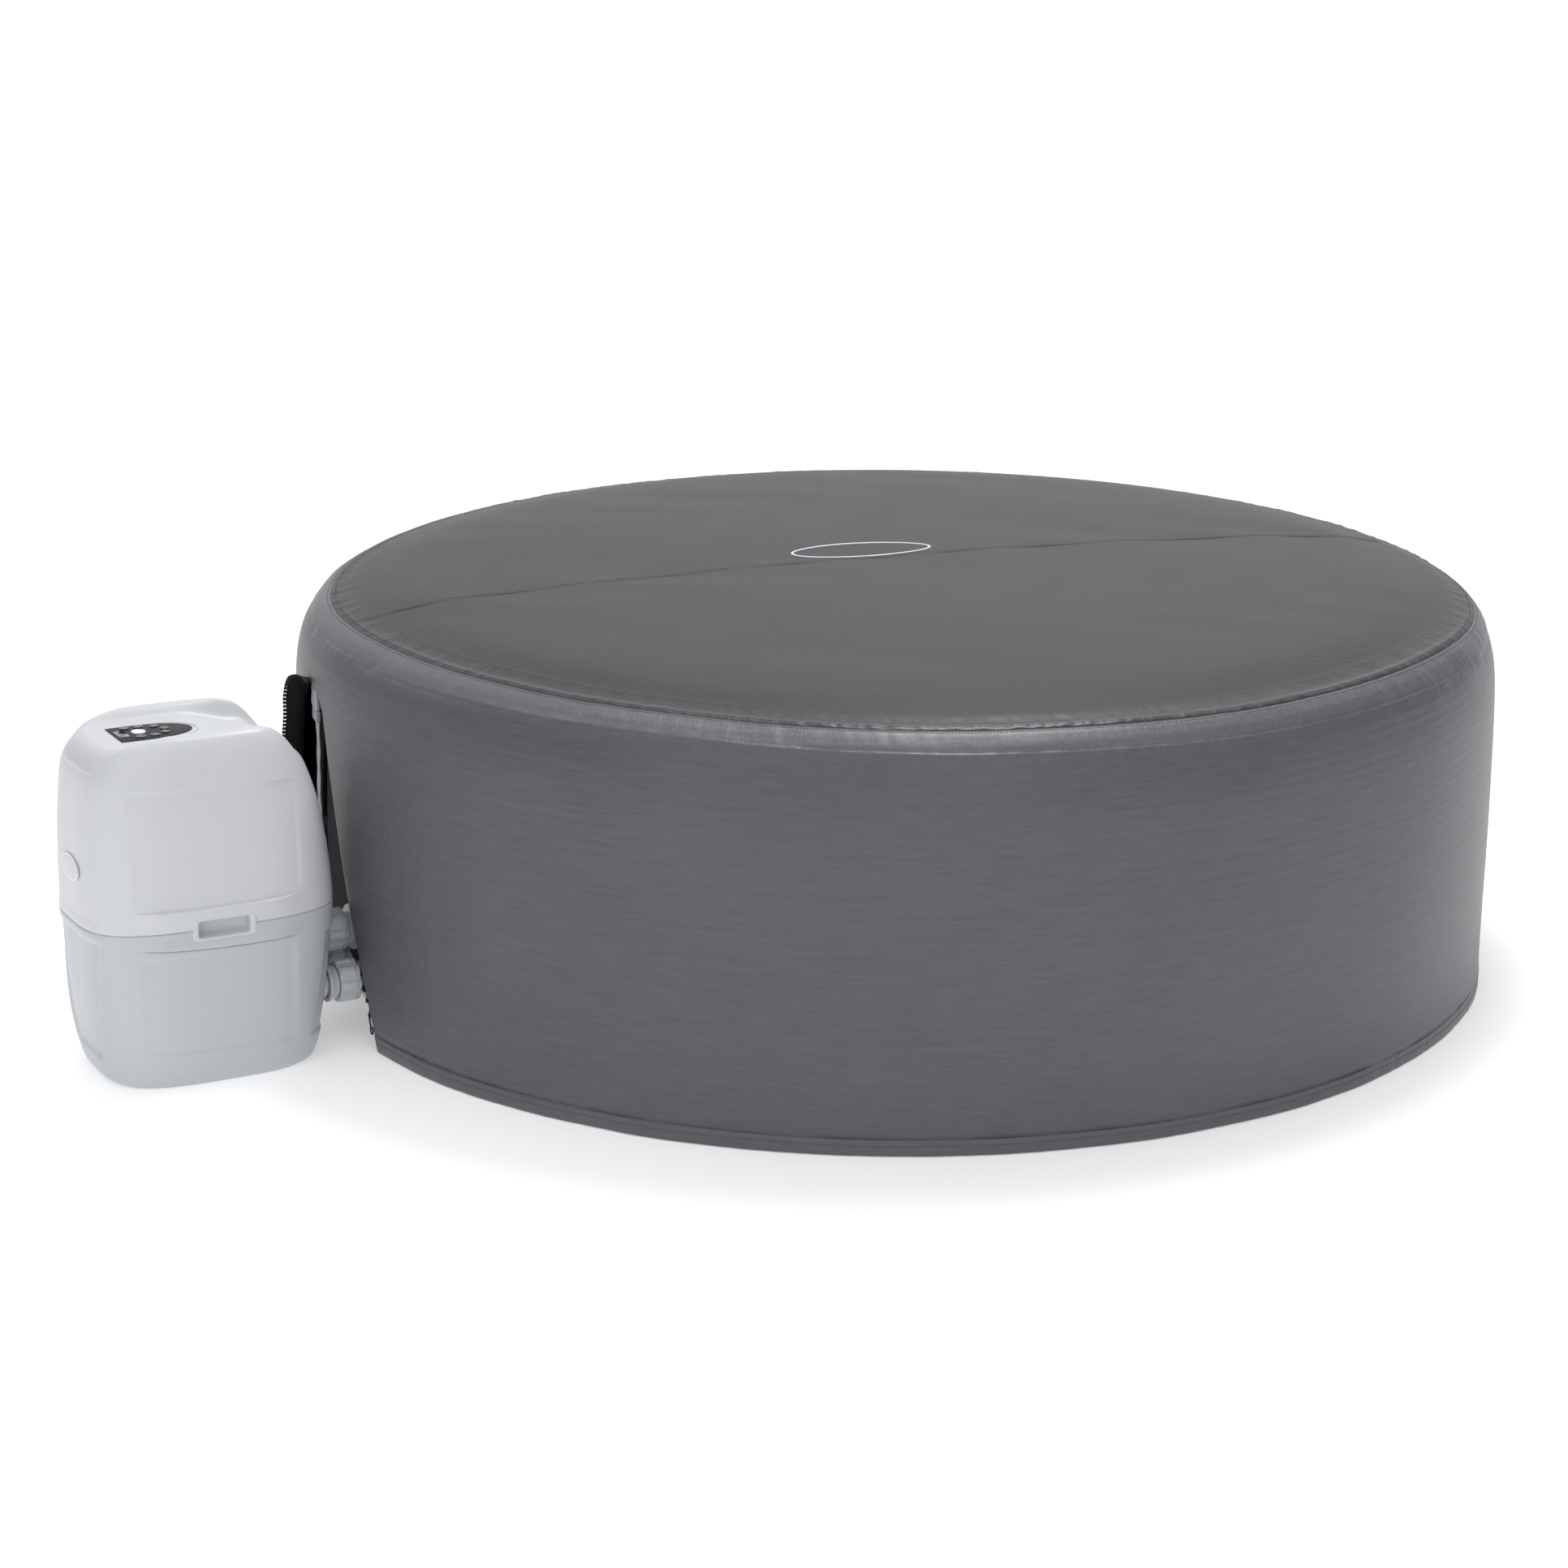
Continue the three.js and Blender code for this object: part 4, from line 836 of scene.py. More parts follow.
# far side: the flap turned outwards, with its teeth on the free edge
ty = np.array([.146, .158, .172, .188, .199, .2055, .2095, .2145, .222, .232, .246, .262, .280, .3005])
tz = np.array([.5340, .5350, .5340, .5300, .5230, .5120, .4970, .4720, .432, .382, .310, .228, .136, .030])
dd = np.concatenate([[0], np.cumsum(np.hypot(np.diff(ty), np.diff(tz)))])
tt = np.linspace(0, dd[-1], 150)
tc = catmull(np.column_stack([ty, tz]), 16); dc = np.concatenate([[0], np.cumsum(np.linalg.norm(np.diff(tc, axis=0), axis=1))])
tt = np.linspace(0, dc[-1], 160)
fy, fz = np.interp(tt, dc, tc[:, 0]), np.interp(tt, dc, tc[:, 1])
flare = np.interp(tt, [0, .02, .05, .09, .14, .22, .35, dc[-1]], [.004, .010, .020, .025, .026, .023, .016, .010])
lat = np.interp(tt, [0, .03, .07, .12, .25, dc[-1]], [.000, -.004, -.004, .000, .006, .014])     # towards the opening
lift = np.interp(tt, [0, .03, .08, .14, .3], [.001, .004, .002, 0, 0])
cr = np.linspace(0, 1, 12)
Pf = []
for y, z, fl, la, li in zip(fy, fz, flare, lat, lift):
    ps = 180 - math.degrees(math.asin(y / float(R_OF_Z(z))))
    b, e = skin([ps], [min(z, .545)], 0.0)
    b, e = b[0], e[0]
    tang = np.array([-e[1], e[0], 0])        # increasing psi = towards the opening's near side
    row = []
    for c in cr:
        # starts 14 mm inside, under the skirt, comes out at the edge and turns outwards
        k = (c - .3) / .7
        if c < .3:
            p = b - e * .0045 - tang * (.014 * (1 - c / .3))
        else:
            p = b + e * (-.0045 + (fl + .0045) * k ** 1.25) + tang * (la * math.sin(k * pi / 2) + .0035 * math.sin(k * pi)) + np.array([0, 0, li * k])
            p = p + e * (.0012 * math.sin(z * 60 + 2) * k) + tang * (.0018 * math.sin(z * 47) * k)
        row.append(p)
    Pf.append(row)
Pf = np.array(Pf)
far_flap = cloth("far_zip_flap", Pf, M_TAPE, t=.0018, pk=.8, replaces=["far_zip_tape"])
edge = Pf[:, -1]; yd = Pf[:, -1] - Pf[:, -2]; yd /= np.linalg.norm(yd, axis=1)[:, None]
tn = np.gradient(edge, axis=0); xd = np.cross(tn, yd)
teeth("far_zip_teeth", edge + yd * .0016, yd, xd, pitch=.0062, w=.0050, ln=.0066, th=.0036)
v, f = tube(edge - yd * .001, .0013, 8); put(mesh("far_zip_tape_cord", v, f, [M_TAPE]), "cover")

# black facing under the upper edge of the opening
zc_ = np.array([(-.002, .486), (.030, .496), (.062, .503), (.085, .514), (.102, .5235), (.125, .530), (.150, .5365), (.172, .5365), (.190, .532), (.200, .522), (.206, .508)])
cc_ = catmull(zc_, 8)
rowsT = []
for y, z in cc_[16:]:
    row = []
    for k in np.linspace(-1, 1, 7):
        zz_ = z + .009 * k
        ps = 180 - math.degrees(math.asin(y / float(R_OF_Z(zz_))))
        p, e = skin([ps], [zz_], .0038 + (.003 * (1 - k) / 2))
        row.append(p[0])
    rowsT.append(row)
cloth("opening_top_facing", np.array(rowsT), M_TAPE, t=.0014, pk=.6)

# crumpled loose tape end near the foot of the near edge
pts = []
for i, t in enumerate(np.linspace(0, 1, 90)):
    z = .150 - .075 * t
    o = eo + ez * (z - .058) / .94 + ey * (.004 + .006 * math.sin(t * 17 + 1)) + ex * (-.002 - .007 * abs(math.sin(t * 11)))
    pts.append([o + ey * (k * (.0065 + .002 * math.sin(t * 9))) + ex * (.0025 * math.sin(k * 2.2 + t * 23)) for k in np.linspace(-1, 1, 8)])
cloth("loose_tape_end", np.array(pts), M_TAPE, t=.0012, pk=1.0)

# slider and pull
def boxr(w, h, d, r=.0008, n=4):
    v, f = extrude(rrect(w, h, min(w, h) * .28, 5), d, r, 3, -d / 2)
    return v, f
sl = []
# body: two plates joined by a bridge, open along the track
for sx in (-1, 1):
    v, f = extrude(np.array([(-.0046, -.010), (.0046, -.0085), (.0062, -.002), (.0062, .004), (.0046, .0095), (-.0046, .010), (-.0060, .003), (-.0060, -.003)]) * [1, 1], .0021, .0005, 3, -.00105)
    m = frame_at((0, 0, 0), (0, 1, 0), (0, 0, 1), (1, 0, 0)) @ T(.0078, 0, sx * .0034)
    sl.append(xf((v, f), m))
v, f = extrude(rrect(.0050, .0125, .0014, 4), .0066, .0004, 2, -.0033)
sl.append(xf((v, f), frame_at((0, 0, 0), (0, 1, 0), (0, 0, 1), (1, 0, 0)) @ T(.0125, 0, 0)))
brd = np.array([(-.0046, 0, -.006), (-.0062, 0, -.0052), (-.0069, 0, -.002), (-.0069, 0, .003), (-.0060, 0, .006), (-.0046, 0, .0068)]) + [0, .0077, 0]
sl.append(tube(catmull(brd, 6), .0011, 8))
V_, F_ = join_parts(sl)
ob = mesh("zip_slider_body", xf((V_, F_), ME)[0], F_, [M_TEETH], sharp=40); put(ob, "zip_slider", ["zip_slider"])
pl_ = []
v, f = extrude(rrect(.0052, .0235, .0022, 5), .0014, .0004, 3, -.0007)
pl_.append(xf((v, f), frame_at((0, 0, 0), (0, 1, 0), (0, 0, 1), (1, 0, 0)) @ T(.0077, -.0105, -.00845)))
rg = np.array([(-.0079, .0077 + .0048 * math.sin(t), -.026 + .0056 * math.cos(t)) for t in np.linspace(0, TAU, 32, endpoint=False)])
pl_.append(tube(rg, .0013, 8, closed=True))
V_, F_ = join_parts(pl_)
ob = mesh("zip_pull_tab", xf((V_, F_), ME)[0], F_, [M_TEETH], sharp=40); put(ob, "zip_pull", ["zip_pull"])

# ---------------------------------------------------------------- side-release buckle and webbing
SP = 169.6
MS = outward(SP, 0, 0)          # local x along the circle, y up, z outward
def S_(vf, x, y, z): return xf(vf, MS @ T(x, y, z))
def webbing(name, path, w, body, node, t=.0014):
    path = catmull(np.array(path), 14)
    tg = np.gradient(path, axis=0); 
    Pw = np.array([[MS[:3, :3] @ np.array([k * w / 2, y, r + .0004 * math.sin(y * 130 + k)]) for k in np.linspace(-1, 1, 9)] for y, r in path])
    return cloth(name, Pw, M_WEB, t=t, pk=.2, body=body, replaces=[node])
cs = webbing("cover_strap_webbing", [(.5215, .9632), (.535, .9640), (.548, .9655), (.556, .9670)], .025, "cover", "cover_strap")
ts = webbing("tub_strap_webbing", [(.300, .9600), (.34, .9612), (.39, .9606), (.43, .9602), (.4637, .9605)], .025, "tub", "tub_strap")
bs = []
# socket: hollow oval shell
sec = []
for (y, hw, hz) in ((.4825, .0150, .0040), (.4835, .0168, .0047), (.488, .0175, .0050), (.500, .0168, .0050), (.512, .0172, .0050), (.5185, .0168, .0046), (.5215, .0158, .0036), (.5245, .0150, .0030)):
    f_ = np.arange(40) / 40 * TAU
    sec.append(np.column_stack([hw * np.sign(np.cos(f_)) * np.abs(np.cos(f_)) ** .55, np.full(40, y), .9620 + hz * np.sign(np.sin(f_)) * np.abs(np.sin(f_)) ** .6]))
sec = np.array(sec)
# inner cavity back down
inn = []
for (y, hw, hz) in ((.4828, .0140, .0030), (.490, .0138, .0030), (.508, .0135, .0028)):
    inn.append(np.column_stack([hw * np.sign(np.cos(f_)) * np.abs(np.cos(f_)) ** .55, np.full(40, y), .9620 + hz * np.sign(np.sin(f_)) * np.abs(np.sin(f_)) ** .6]))
allr = np.concatenate([np.array(inn)[::-1], sec])
F_ = [tuple(q) for q in quads(len(allr), 40, True)] + [tuple(range(40)), tuple((len(allr) - 1) * 40 + i for i in range(40))[::-1]]
V_ = allr.reshape(-1, 3)
ob = mesh("buckle_socket_body", xf((V_, F_), MS)[0], F_, [M_BUCKLE], sharp=40, recalc=True)
put(ob, "cover", ["buckle_socket"])
rb = []
for sx in (-1, 1):
    v, f = extrude(rrect(.0022, .014, .0008, 4), .0012, .0004, 2, 0); rb.append(S_((v, f), sx * .0095, .497, .9664))
for yy in (.5135, .5165): 
    v, f = extrude(rrect(.022, .0016, .0007, 4), .0010, .0004, 2, 0); rb.append(S_((v, f), 0, yy, .9664))
ob = mesh("buckle_socket_ribs", *join_parts(rb), [M_BUCKLE], sharp=40); put(ob, "cover")
bp = []
v, f = extrude(rrect(.033, .0175, .003, 5), .0078, .0014, 4, -.0039); bp.append(S_((v, f), 0, .4727, .9620))
for sx in (-1, 1):
    arm = np.array([(sx * .0120, .480), (sx * .0128, .488), (sx * .0124, .496), (sx * .0112, .505)])
    a_ = catmull(arm, 6); wv = np.interp(np.linspace(0, 1, len(a_)), [0, .6, .85, 1], [.0019, .0019, .0024, .0010])
    bp.append(S_(tube(np.column_stack([a_, np.zeros(len(a_))]), wv, 8), 0, 0, .9620))
bp.append(S_(tube(np.array([(0, .480, 0), (0, .494, 0), (0, .5075, 0)]), [.0020, .0018, .0010], 8), 0, 0, .9620))
ob = mesh("buckle_plug_body", *join_parts(bp), [M_BUCKLE], sharp=40); put(ob, "tub", ["buckle_plug"])

# ---------------------------------------------------------------- pump housing (own frame in millimetres, then to metres at x = -1.215)
PX = -1215.0
ROWS = np.array([[0, .77 * 200, .83 * 140, -3], [7, .83 * 200, .875 * 140, -3], [24, .868 * 200, .90 * 140, -3], [60, .915 * 200, .93 * 140, -3], [130, .965 * 200, .968 * 140, -2], [252, 200, 140, 0],
                 [350, 196, 137.9, -4], [420, 188, 133.7, -9], [480, 174, 127.4, -16], [520, 158, 119, -21], [538, 143, 110.6, -23], [543, 132, 103.6, -24]])
PATH = catmull(ROWS, 40)
ORD = np.argsort(PATH[:, 0]); PATH = PATH[ORD]


def tr(x, y):
    return -15 * (1 - smooth01(72, 90, np.abs(y)) * smooth01(-178, -60, x)) - 4 * (1 - smooth01(-172, -126, x)) - 20 * smooth01(0, 104, x) * (1 - smooth01(62, 92, np.abs(y)))


_ff = np.linspace(0, TAU, 6001)
_sx = np.sign(np.cos(_ff)) * np.abs(np.cos(_ff)) ** (2 / 3.5) * 200; _sy = np.sign(np.sin(_ff)) * np.abs(np.sin(_ff)) ** (2 / 3.5) * 140
_al = np.concatenate([[0], np.cumsum(np.hypot(np.diff(_sx), np.diff(_sy)))])
NC = 400
FF = np.interp(np.arange(NC) / NC * _al[-1], _al, _ff)
CX = np.sign(np.cos(FF)) * np.abs(np.cos(FF)) ** (2 / 3.5); CY = np.sign(np.sin(FF)) * np.abs(np.sin(FF)) ** (2 / 3.5)


def pump_rows(zs, caps=()):
    X, Y, Z, W = [], [], [], []
    for z in zs:
        a, b, ox = (np.interp(z, PATH[:, 0], PATH[:, i]) for i in (1, 2, 3))
        x, y = a * CX + ox, b * CY
        w = float(smooth01(470, 543, z))
        X.append(x); Y.append(y); Z.append(z + w * tr(x, y)); W.append(np.full(NC, z))
    for k, dz, zz in caps:
        a, b, ox = (np.interp(zz, PATH[:, 0], PATH[:, i]) for i in (1, 2, 3))
        x, y = a * k * CX + ox, b * k * CY
        X.append(x); Y.append(y); Z.append(np.zeros(NC) + zz + dz + (tr(x, y) if zz > 300 else 0)); W.append(np.full(NC, zz + (9 if zz > 300 else -9)))
    return np.array(X), np.array(Y), np.array(Z), np.array(W)


def feats(X, Y, Z, W):
    """moulded details, millimetres outward"""
    off = np.zeros_like(X)
    sidey = smooth01(.80, .97, np.abs(Y) / np.interp(np.clip(W, 0, 543), PATH[:, 0], PATH[:, 2]))
    # belt round the handles, tapering at both ends
    zh = np.interp(X, [-150, -135, 0, 118, 150], [290, 289, 283, 286, 287.5]) + .0004 * X * 0
    zl = np.interp(X, [-150, -129, 0, 118, 150], [231.5, 230, 221.3, 224.3, 226])
    q = X / 130
    zh = 283.2 + 3.0 * q + 3.2 * q * q * .9 - 3.2 * q; zl = 221.2 - 2.6 * q + 5.4 * q * q * .9
    taper = smooth01(-150, -95, X) * (1 - smooth01(78, 132, X))
    belt = smooth01(-1.1, -.1, W - zl) * (1 - smooth01(0, 1.2, W - zh)) * taper * sidey
    off += 4.8 * belt * (.35 + .65 * smooth01(4, 28, np.abs(W - 252)))
    off += -2.4 * np.exp(-((W - zl + 1.7) / .85) ** 2) * taper * sidey
    off += .7 * np.exp(-((W - zh + .9) / 1.0) ** 2) * taper * sidey
    # groove of the joint between the shells
    off += -1.5 * np.exp(-((W - 252) / 1.1) ** 2)
    # shallow panel of the upper side, step below the shoulder
    zc = 465.5 - 5.2 * (X / 128)
    stepz = smooth01(-5, 4, W - zc)
    panel = smooth01(-4, 4, X + 139) * (1 - smooth01(118, 127, X)) * smooth01(293, 305, W) * (1 - stepz)
    off += -1.5 * panel * sidey
    off += .5 * np.exp(-((W - zc - 3) / 5.) ** 2) * sidey
    # shallow panel of the lower side
    zc2 = 53 - 4.2 * (X / 120)
    st2 = smooth01(-4, 4, W - zc2)
    panel2 = smooth01(-5, 5, X + 128) * (1 - smooth01(104, 116, X)) * (1 - smooth01(206, 217, W)) * st2
    off += -1.3 * panel2 * sidey
    off += .5 * np.exp(-((W - zc2) / 4.) ** 2) * sidey
    # shield-shaped recess of the end face below the joint
    half = 96 - 30 * (1 - smooth01(20, 210, W))
    ed = np.minimum(half - np.abs(Y), np.minimum(243 - W, (W - 38)))
    off += -6.0 * smooth01(0, 13, ed) * (X < -60)
    # edge of the same kind on the upper end face, faint
    half = 100 - 24 * smooth01(330, 520, W)
    ed = np.minimum(half - np.abs(Y), np.minimum(505 - W, (W - 262)))
    off += -1.2 * smooth01(0, 10, ed) * (X < -60)
    # the tub side: flat recess around the ports
    ed = np.minimum(112 - np.abs(Y), np.minimum(214 - W, (W - 44)))
    off += -3.5 * smooth01(0, 8, ed) * (X > 60)
    return off


def pump_shell(name, zs, caps, caps_first, node, mat):
    X, Y, Z, W = pump_rows(zs, caps)
    if caps_first:
        n = len(zs)
        order = list(range(n, n + len(caps)))[::-1] + list(range(n))
        X, Y, Z, W = X[order], Y[order], Z[order], W[order]
    P = np.stack([X, Y, Z], -1)
    du = np.roll(P, -1, 1) - np.roll(P, 1, 1); dv = np.gradient(P, axis=0)
    Nn = np.cross(du, dv); Nn /= np.linalg.norm(Nn, axis=2)[..., None] + 1e-9
    side = (W >= 0) & (W <= 543)
    off = feats(X, Y, Z, W) * side
    Nn[..., 2] *= .35
    P = P + Nn * off[..., None]
    nr, nc = X.shape
    F = quads(nr, nc, True)
    V = P.reshape(-1, 3)
    cen = V[F].mean(1)
    keep = ~((np.abs(cen[:, 0] + 4) < 45.5) & (np.abs(cen[:, 2] - 252) < 17.6) & (np.abs(cen[:, 1]) > 120))
    for (py, pz) in ((-34, 100), (95, 100), (17, 168)):
        keep &= ~((np.hypot(cen[:, 1] - py, cen[:, 2] - pz) < 21) & (cen[:, 0] > 150))
    F = F[keep]
    V = V / 1000; V[:, 0] += PX / 1000
    ob = mesh(name, V, F, [mat])
    bm = bmesh.new(); bm.from_mesh(ob.data)
    bmesh.ops.delete(bm, geom=[v for v in bm.verts if not v.link_faces], context="VERTS")
    for v in bm.verts:
        if v.is_boundary and v.co.x > PX / 1000 + .15:
            for (py, pz) in ((-.034, .1), (.095, .1), (.017, .168)):
                d = Vector((v.co.y - py, v.co.z - pz))
                if d.length < .027:
                    d = d.normalized() * .0215; v.co.y, v.co.z = py + d.x, pz + d.y
    ends = [v for v in bm.verts if v.is_boundary and math.hypot(v.co.x - (PX - (24 if not caps_first else 8)) / 1000, v.co.y) < .0008]
    if ends:
        bmesh.ops.pointmerge(bm, verts=ends, merge_co=sum((v.co for v in ends), Vector()) / len(ends))
    bm.to_mesh(ob.data); bm.free()
    so = ob.modifiers.new("wall", "SOLIDIFY"); so.thickness = .0028; so.offset = -1
    bake(ob)
    ob.data.set_sharp_from_angle(angle=rad(60))
    return put(ob, "pump", [node])


zl_ = np.unique(np.concatenate([[0, 1, 2.2, 3.6, 5, 7, 10, 14, 18, 24, 30, 36], np.arange(40, 70, 1.6), np.arange(70, 205, 5), np.arange(205, 214, 2), np.arange(214, 232, .8), np.arange(232, 250.5, 2), [250.6, 251.1, 251.5, 251.85]]))
zu_ = np.unique(np.concatenate([[252.15, 252.5, 252.9, 253.4, 254.2], np.arange(255.5, 276, 2), np.arange(276, 294, .8), np.arange(294, 308, 1.8), np.arange(308, 452, 5), np.arange(452, 482, 1.6), np.arange(482, 536, 2.5), [536, 538, 539.5, 541, 542, 543]]))
lower = pump_shell("pump_housing_lower", zl_, [(.97, 0, 0), (.9, 0, 0), (.6, 0, 0), (.3, 0, 0), (.003, 0, 0)], True, "pump_lower_shell", M_BASE)
upper = pump_shell("pump_housing_upper", zu_, [(.985, .35, 543), (.97, .5, 543), (.95, .45, 543), (.92, .3, 543), (.89, .1, 543), (.86, 0, 543), (.82, 0, 543), (.78, 0, 543), (.74, 0, 543), (.70, 0, 543), (.66, 0, 543), (.62, 0, 543), (.58, 0, 543), (.5, 0, 543), (.4, 0, 543), (.25, 0, 543), (.1, 0, 543), (.003, 0, 543)], False, "pump_upper_shell", M_PUMP)


def rr_loft(levels, n=8):
    """rounded rectangles (w, h, r, depth) joined in order, last one closed"""
    V = np.concatenate([np.column_stack([rrect(w, h, r, n), np.full(4 * (n + 1), d)]) for w, h, r, d in levels])
    k = 4 * (n + 1)
    F = [tuple(q) for q in quads(len(levels), k, True)]
    F.append(tuple((len(levels) - 1) * k + i for i in range(k))); F.append(tuple(range(k))[::-1])
    return V, F


def grip(side, name, node):
    L = [(99, 43, 9, -20), (99, 43, 9, -1), (100.4, 44.4, 9.4, -.2), (101, 45, 9.6, .9), (100.4, 44.4, 9.3, 1.6), (98.6, 42.6, 8.6, 1.95), (92, 36, 7.4, 2.05), (85.5, 29.5, 6.2, 1.95), (83.4, 27.4, 5.4, 1.5), (82.2, 26.2, 5, .6),
         (81.4, 25.4, 4.8, -1), (80.6, 24.6, 4.6, -8), (79.6, 23.4, 4.4, -14), (77.5, 21.4, 4, -17.4), (73, 17, 3, -19), (60, 8, 2, -19.3)]
    v, f = rr_loft(L)
    # outer wall hidden in the shell, closed at the back
    v = v / 1000
    y0 = -.1406 if side < 0 else .1406
    M = frame_at((PX / 1000 - .004, y0, .252), (1, 0, 0) if side < 0 else (-1, 0, 0), (0, 0, 1), (0, -1, 0) if side < 0 else (0, 1, 0))
    ob = mesh(name, xf((v, f), M)[0], f, [M_GRIP], sharp=50)
    return put(ob, "pump", [node])


grip(-1, "handle_recess_front", "grip_front"); grip(1, "handle_recess_back", "grip_back")

# control panel: dark plate with pale outlines, set in the top
PANX, PANZ = -76.0, 528.0
q = [[-44, -41], [-10, -42]]
for t in np.linspace(-90, 90, 40)[1:-1]:
    q.append([16 + 63 * cos(rad(t)) - 26 * (1 - abs(cos(rad(t)))) if False else -10 + 89 * cos(rad(t)) ** .82, 42 * sin(rad(t))])
q += [[-10, 42], [-44, 41]]
q = np.array(q, float)
v, f = extrude(q, 3.0, .5, 3, -2.0)
mp = frame_at(((PX + PANX) / 1000, 0, .5282), (1, 0, 0), (0, 1, 0), (0, 0, 1))
pan = mesh("control_panel_plate", xf((v / 1000, f), mp)[0], f, [M_PANEL], sharp=35)
put(pan, "pump", ["control_panel"])


def flat_ring(outline, w, z0, t):
    P = np.asarray(outline, float); c = P.mean(0)
    d = np.roll(P, -1, 0) - np.roll(P, 1, 0); nn = np.stack([d[:, 1], -d[:, 0]], -1); nn /= np.linalg.norm(nn, axis=1)[:, None]
    rows = [(-w / 2, z0), (-w / 2 * .8, z0 + t), (w / 2 * .8, z0 + t), (w / 2, z0)]
    V = np.concatenate([np.column_stack([P + nn * o, np.full(len(P), z)]) for o, z in rows])
    n = len(P)
    F = [tuple(x) for x in quads(4, n, True)]
    cc = np.arange(n); c2 = (cc + 1) % n
    F += [tuple(x) for x in np.stack([3 * n + cc, 3 * n + c2, c2, cc], -1)]
    return V, F


# raised rim of the shell round the panel's rounded end
rim = np.array([(-10 + 97 * cos(rad(t)) ** .82 if abs(t) < 89.9 else -10, 49 * sin(rad(t))) for t in np.linspace(-80, 80, 60)])
rp = np.column_stack([rim / 1000, np.full(len(rim), -.0004)]); rp[:, 2] += 0
v, f = tube(rp, np.interp(np.linspace(0, 1, 60), [0, .12, .88, 1], [.0004, .0017, .0017, .0004]), 10)
v[:, 2] = v[:, 2] * .9
ob = mesh("panel_surround_rim", xf((v, f), mp)[0], f, [M_PUMP]); put(ob, "pump")
BTN = [(-4, 2, 11, 12), (-9, -26, 8, 6.5), (14, -25, 8, 6.5), (33, -15, 6.5, 7), (38, 5, 6.5, 7.5), (27, 22, 7.5, 6.5), (4, 28, 8, 6.5), (-18, 28, 7.5, 6.5)]
for i, (bx, by, ba, bb) in enumerate(BTN):
    nm = "jet_button" if i == 0 else f"panel_button_{i}"
    lo_b, hi_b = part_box(nm)
    v, f = extrude(oval(ba - .15, bb - .15, 40), 2.9, .5, 3, -1.3)
    mb = frame_at(((PX + PANX + bx) / 1000, by / 1000, .5292), (1, 0, 0), (0, 1, 0), (0, 0, 1))
    parts = [xf((v / 1000, f), mb)]
    ob = mesh(nm + "_cap", *join_parts(parts), [M_WHITE if i == 0 else M_BTN], sharp=35)
    put(ob, nm, [nm])
    # pale outline and a plain mark on each key
    ov = flat_ring(oval(ba - 1.0, bb - 1.0, 40), .55, 1.55, .12)
    marks = [ov]
    g = {0: [oval(4.6, 4.6, 24)], 1: [oval(2.4, 2.4, 20)], 2: [np.array([(-3, -2), (3, -2), (0, 2.6)])], 3: [np.array([(-3, 2), (0, -2.6), (3, 2)])], 4: [oval(1.4, 2.8, 20)], 5: [np.array([(-3, -1.2), (3, -1.2), (3, 1.2), (-3, 1.2)])], 6: [oval(3.2, 1.6, 24)], 7: [np.array([(-2.6, -2.6), (2.6, -2.6), (2.6, 2.6), (-2.6, 2.6)])]}[i]
    for o_ in g:
        if len(o_) < 8:
            o_ = np.concatenate([np.linspace(o_[j], o_[(j + 1) % len(o_)], 8, endpoint=False) for j in range(len(o_))])
        marks.append(flat_ring(o_, .6, 1.55, .12))
    V_, F_ = join_parts([xf((a / 1000, b), mb) for a, b in marks])
    ob = mesh(nm + "_mark", V_, F_, [M_GRIP if i == 0 else M_PRING], smooth=False, recalc=True)
    put(ob, nm)
# display with a plain bezel line
v, f = extrude(rrect(16.4, 35.4, 2.3, 5), 1.2, .3, 2, -.1)
md = frame_at(((PX + PANX - 31) / 1000, 0, .5286), (1, 0, 0), (0, 1, 0), (0, 0, 1))
ob = mesh("display_window_glass", xf((v / 1000, f), md)[0], f, [M_DISPLAY], sharp=35); put(ob, "pump", ["display_window"])
seg = []
for k, yy in enumerate((-9.5, -3.2, 3.2, 9.5)):
    for (cx, cy, w_, h_) in ((-3, 0, .55, 3.2), (0, 0, .55, 3.2), (3, 0, .55, 3.2), (-1.5, -1.9, 2.2, .55), (1.5, -1.9, 2.2, .55), (-1.5, 1.9, 2.2, .55), (1.5, 1.9, 2.2, .55)):
        seg.append(xf((lambda t: (t[0] / 1000, t[1]))(extrude(rrect(w_, h_, .2, 2), .12, .03, 1, 1.1)), md @ T(cx / 1000, yy / 1000, 0)))
ob = mesh("display_digits_unlit", *join_parts(seg), [M_BTN], smooth=False); put(ob, "pump")
# blank oval badge: plate with a pale ring
bx_ = (PX - 200) / 1000
mb = frame_at((bx_ + .0002, -.012, .338), (0, -1, 0), (0, 0, 1), (-1, 0, 0))
v, f = extrude(oval(40, 21, 72), 2.6, .5, 3, -1.4)
ob = mesh("badge_plate", xf((v / 1000, f), mb)[0], f, [M_PUMP], sharp=40); put(ob, "pump", ["oval_badge"])
v, f = flat_ring(oval(37.4, 18.6, 72), 1.6, 1.15, .25)
ob = mesh("badge_ring", xf((v / 1000, f), mb)[0], f, [M_WHITE], smooth=False, recalc=True); put(ob, "pump")

# ---------------------------------------------------------------- tub: inflated wall, floor, lid
PORTS = {"outlet": (-.034, .100), "inlet": (.095, .100), "air": (.017, .168)}


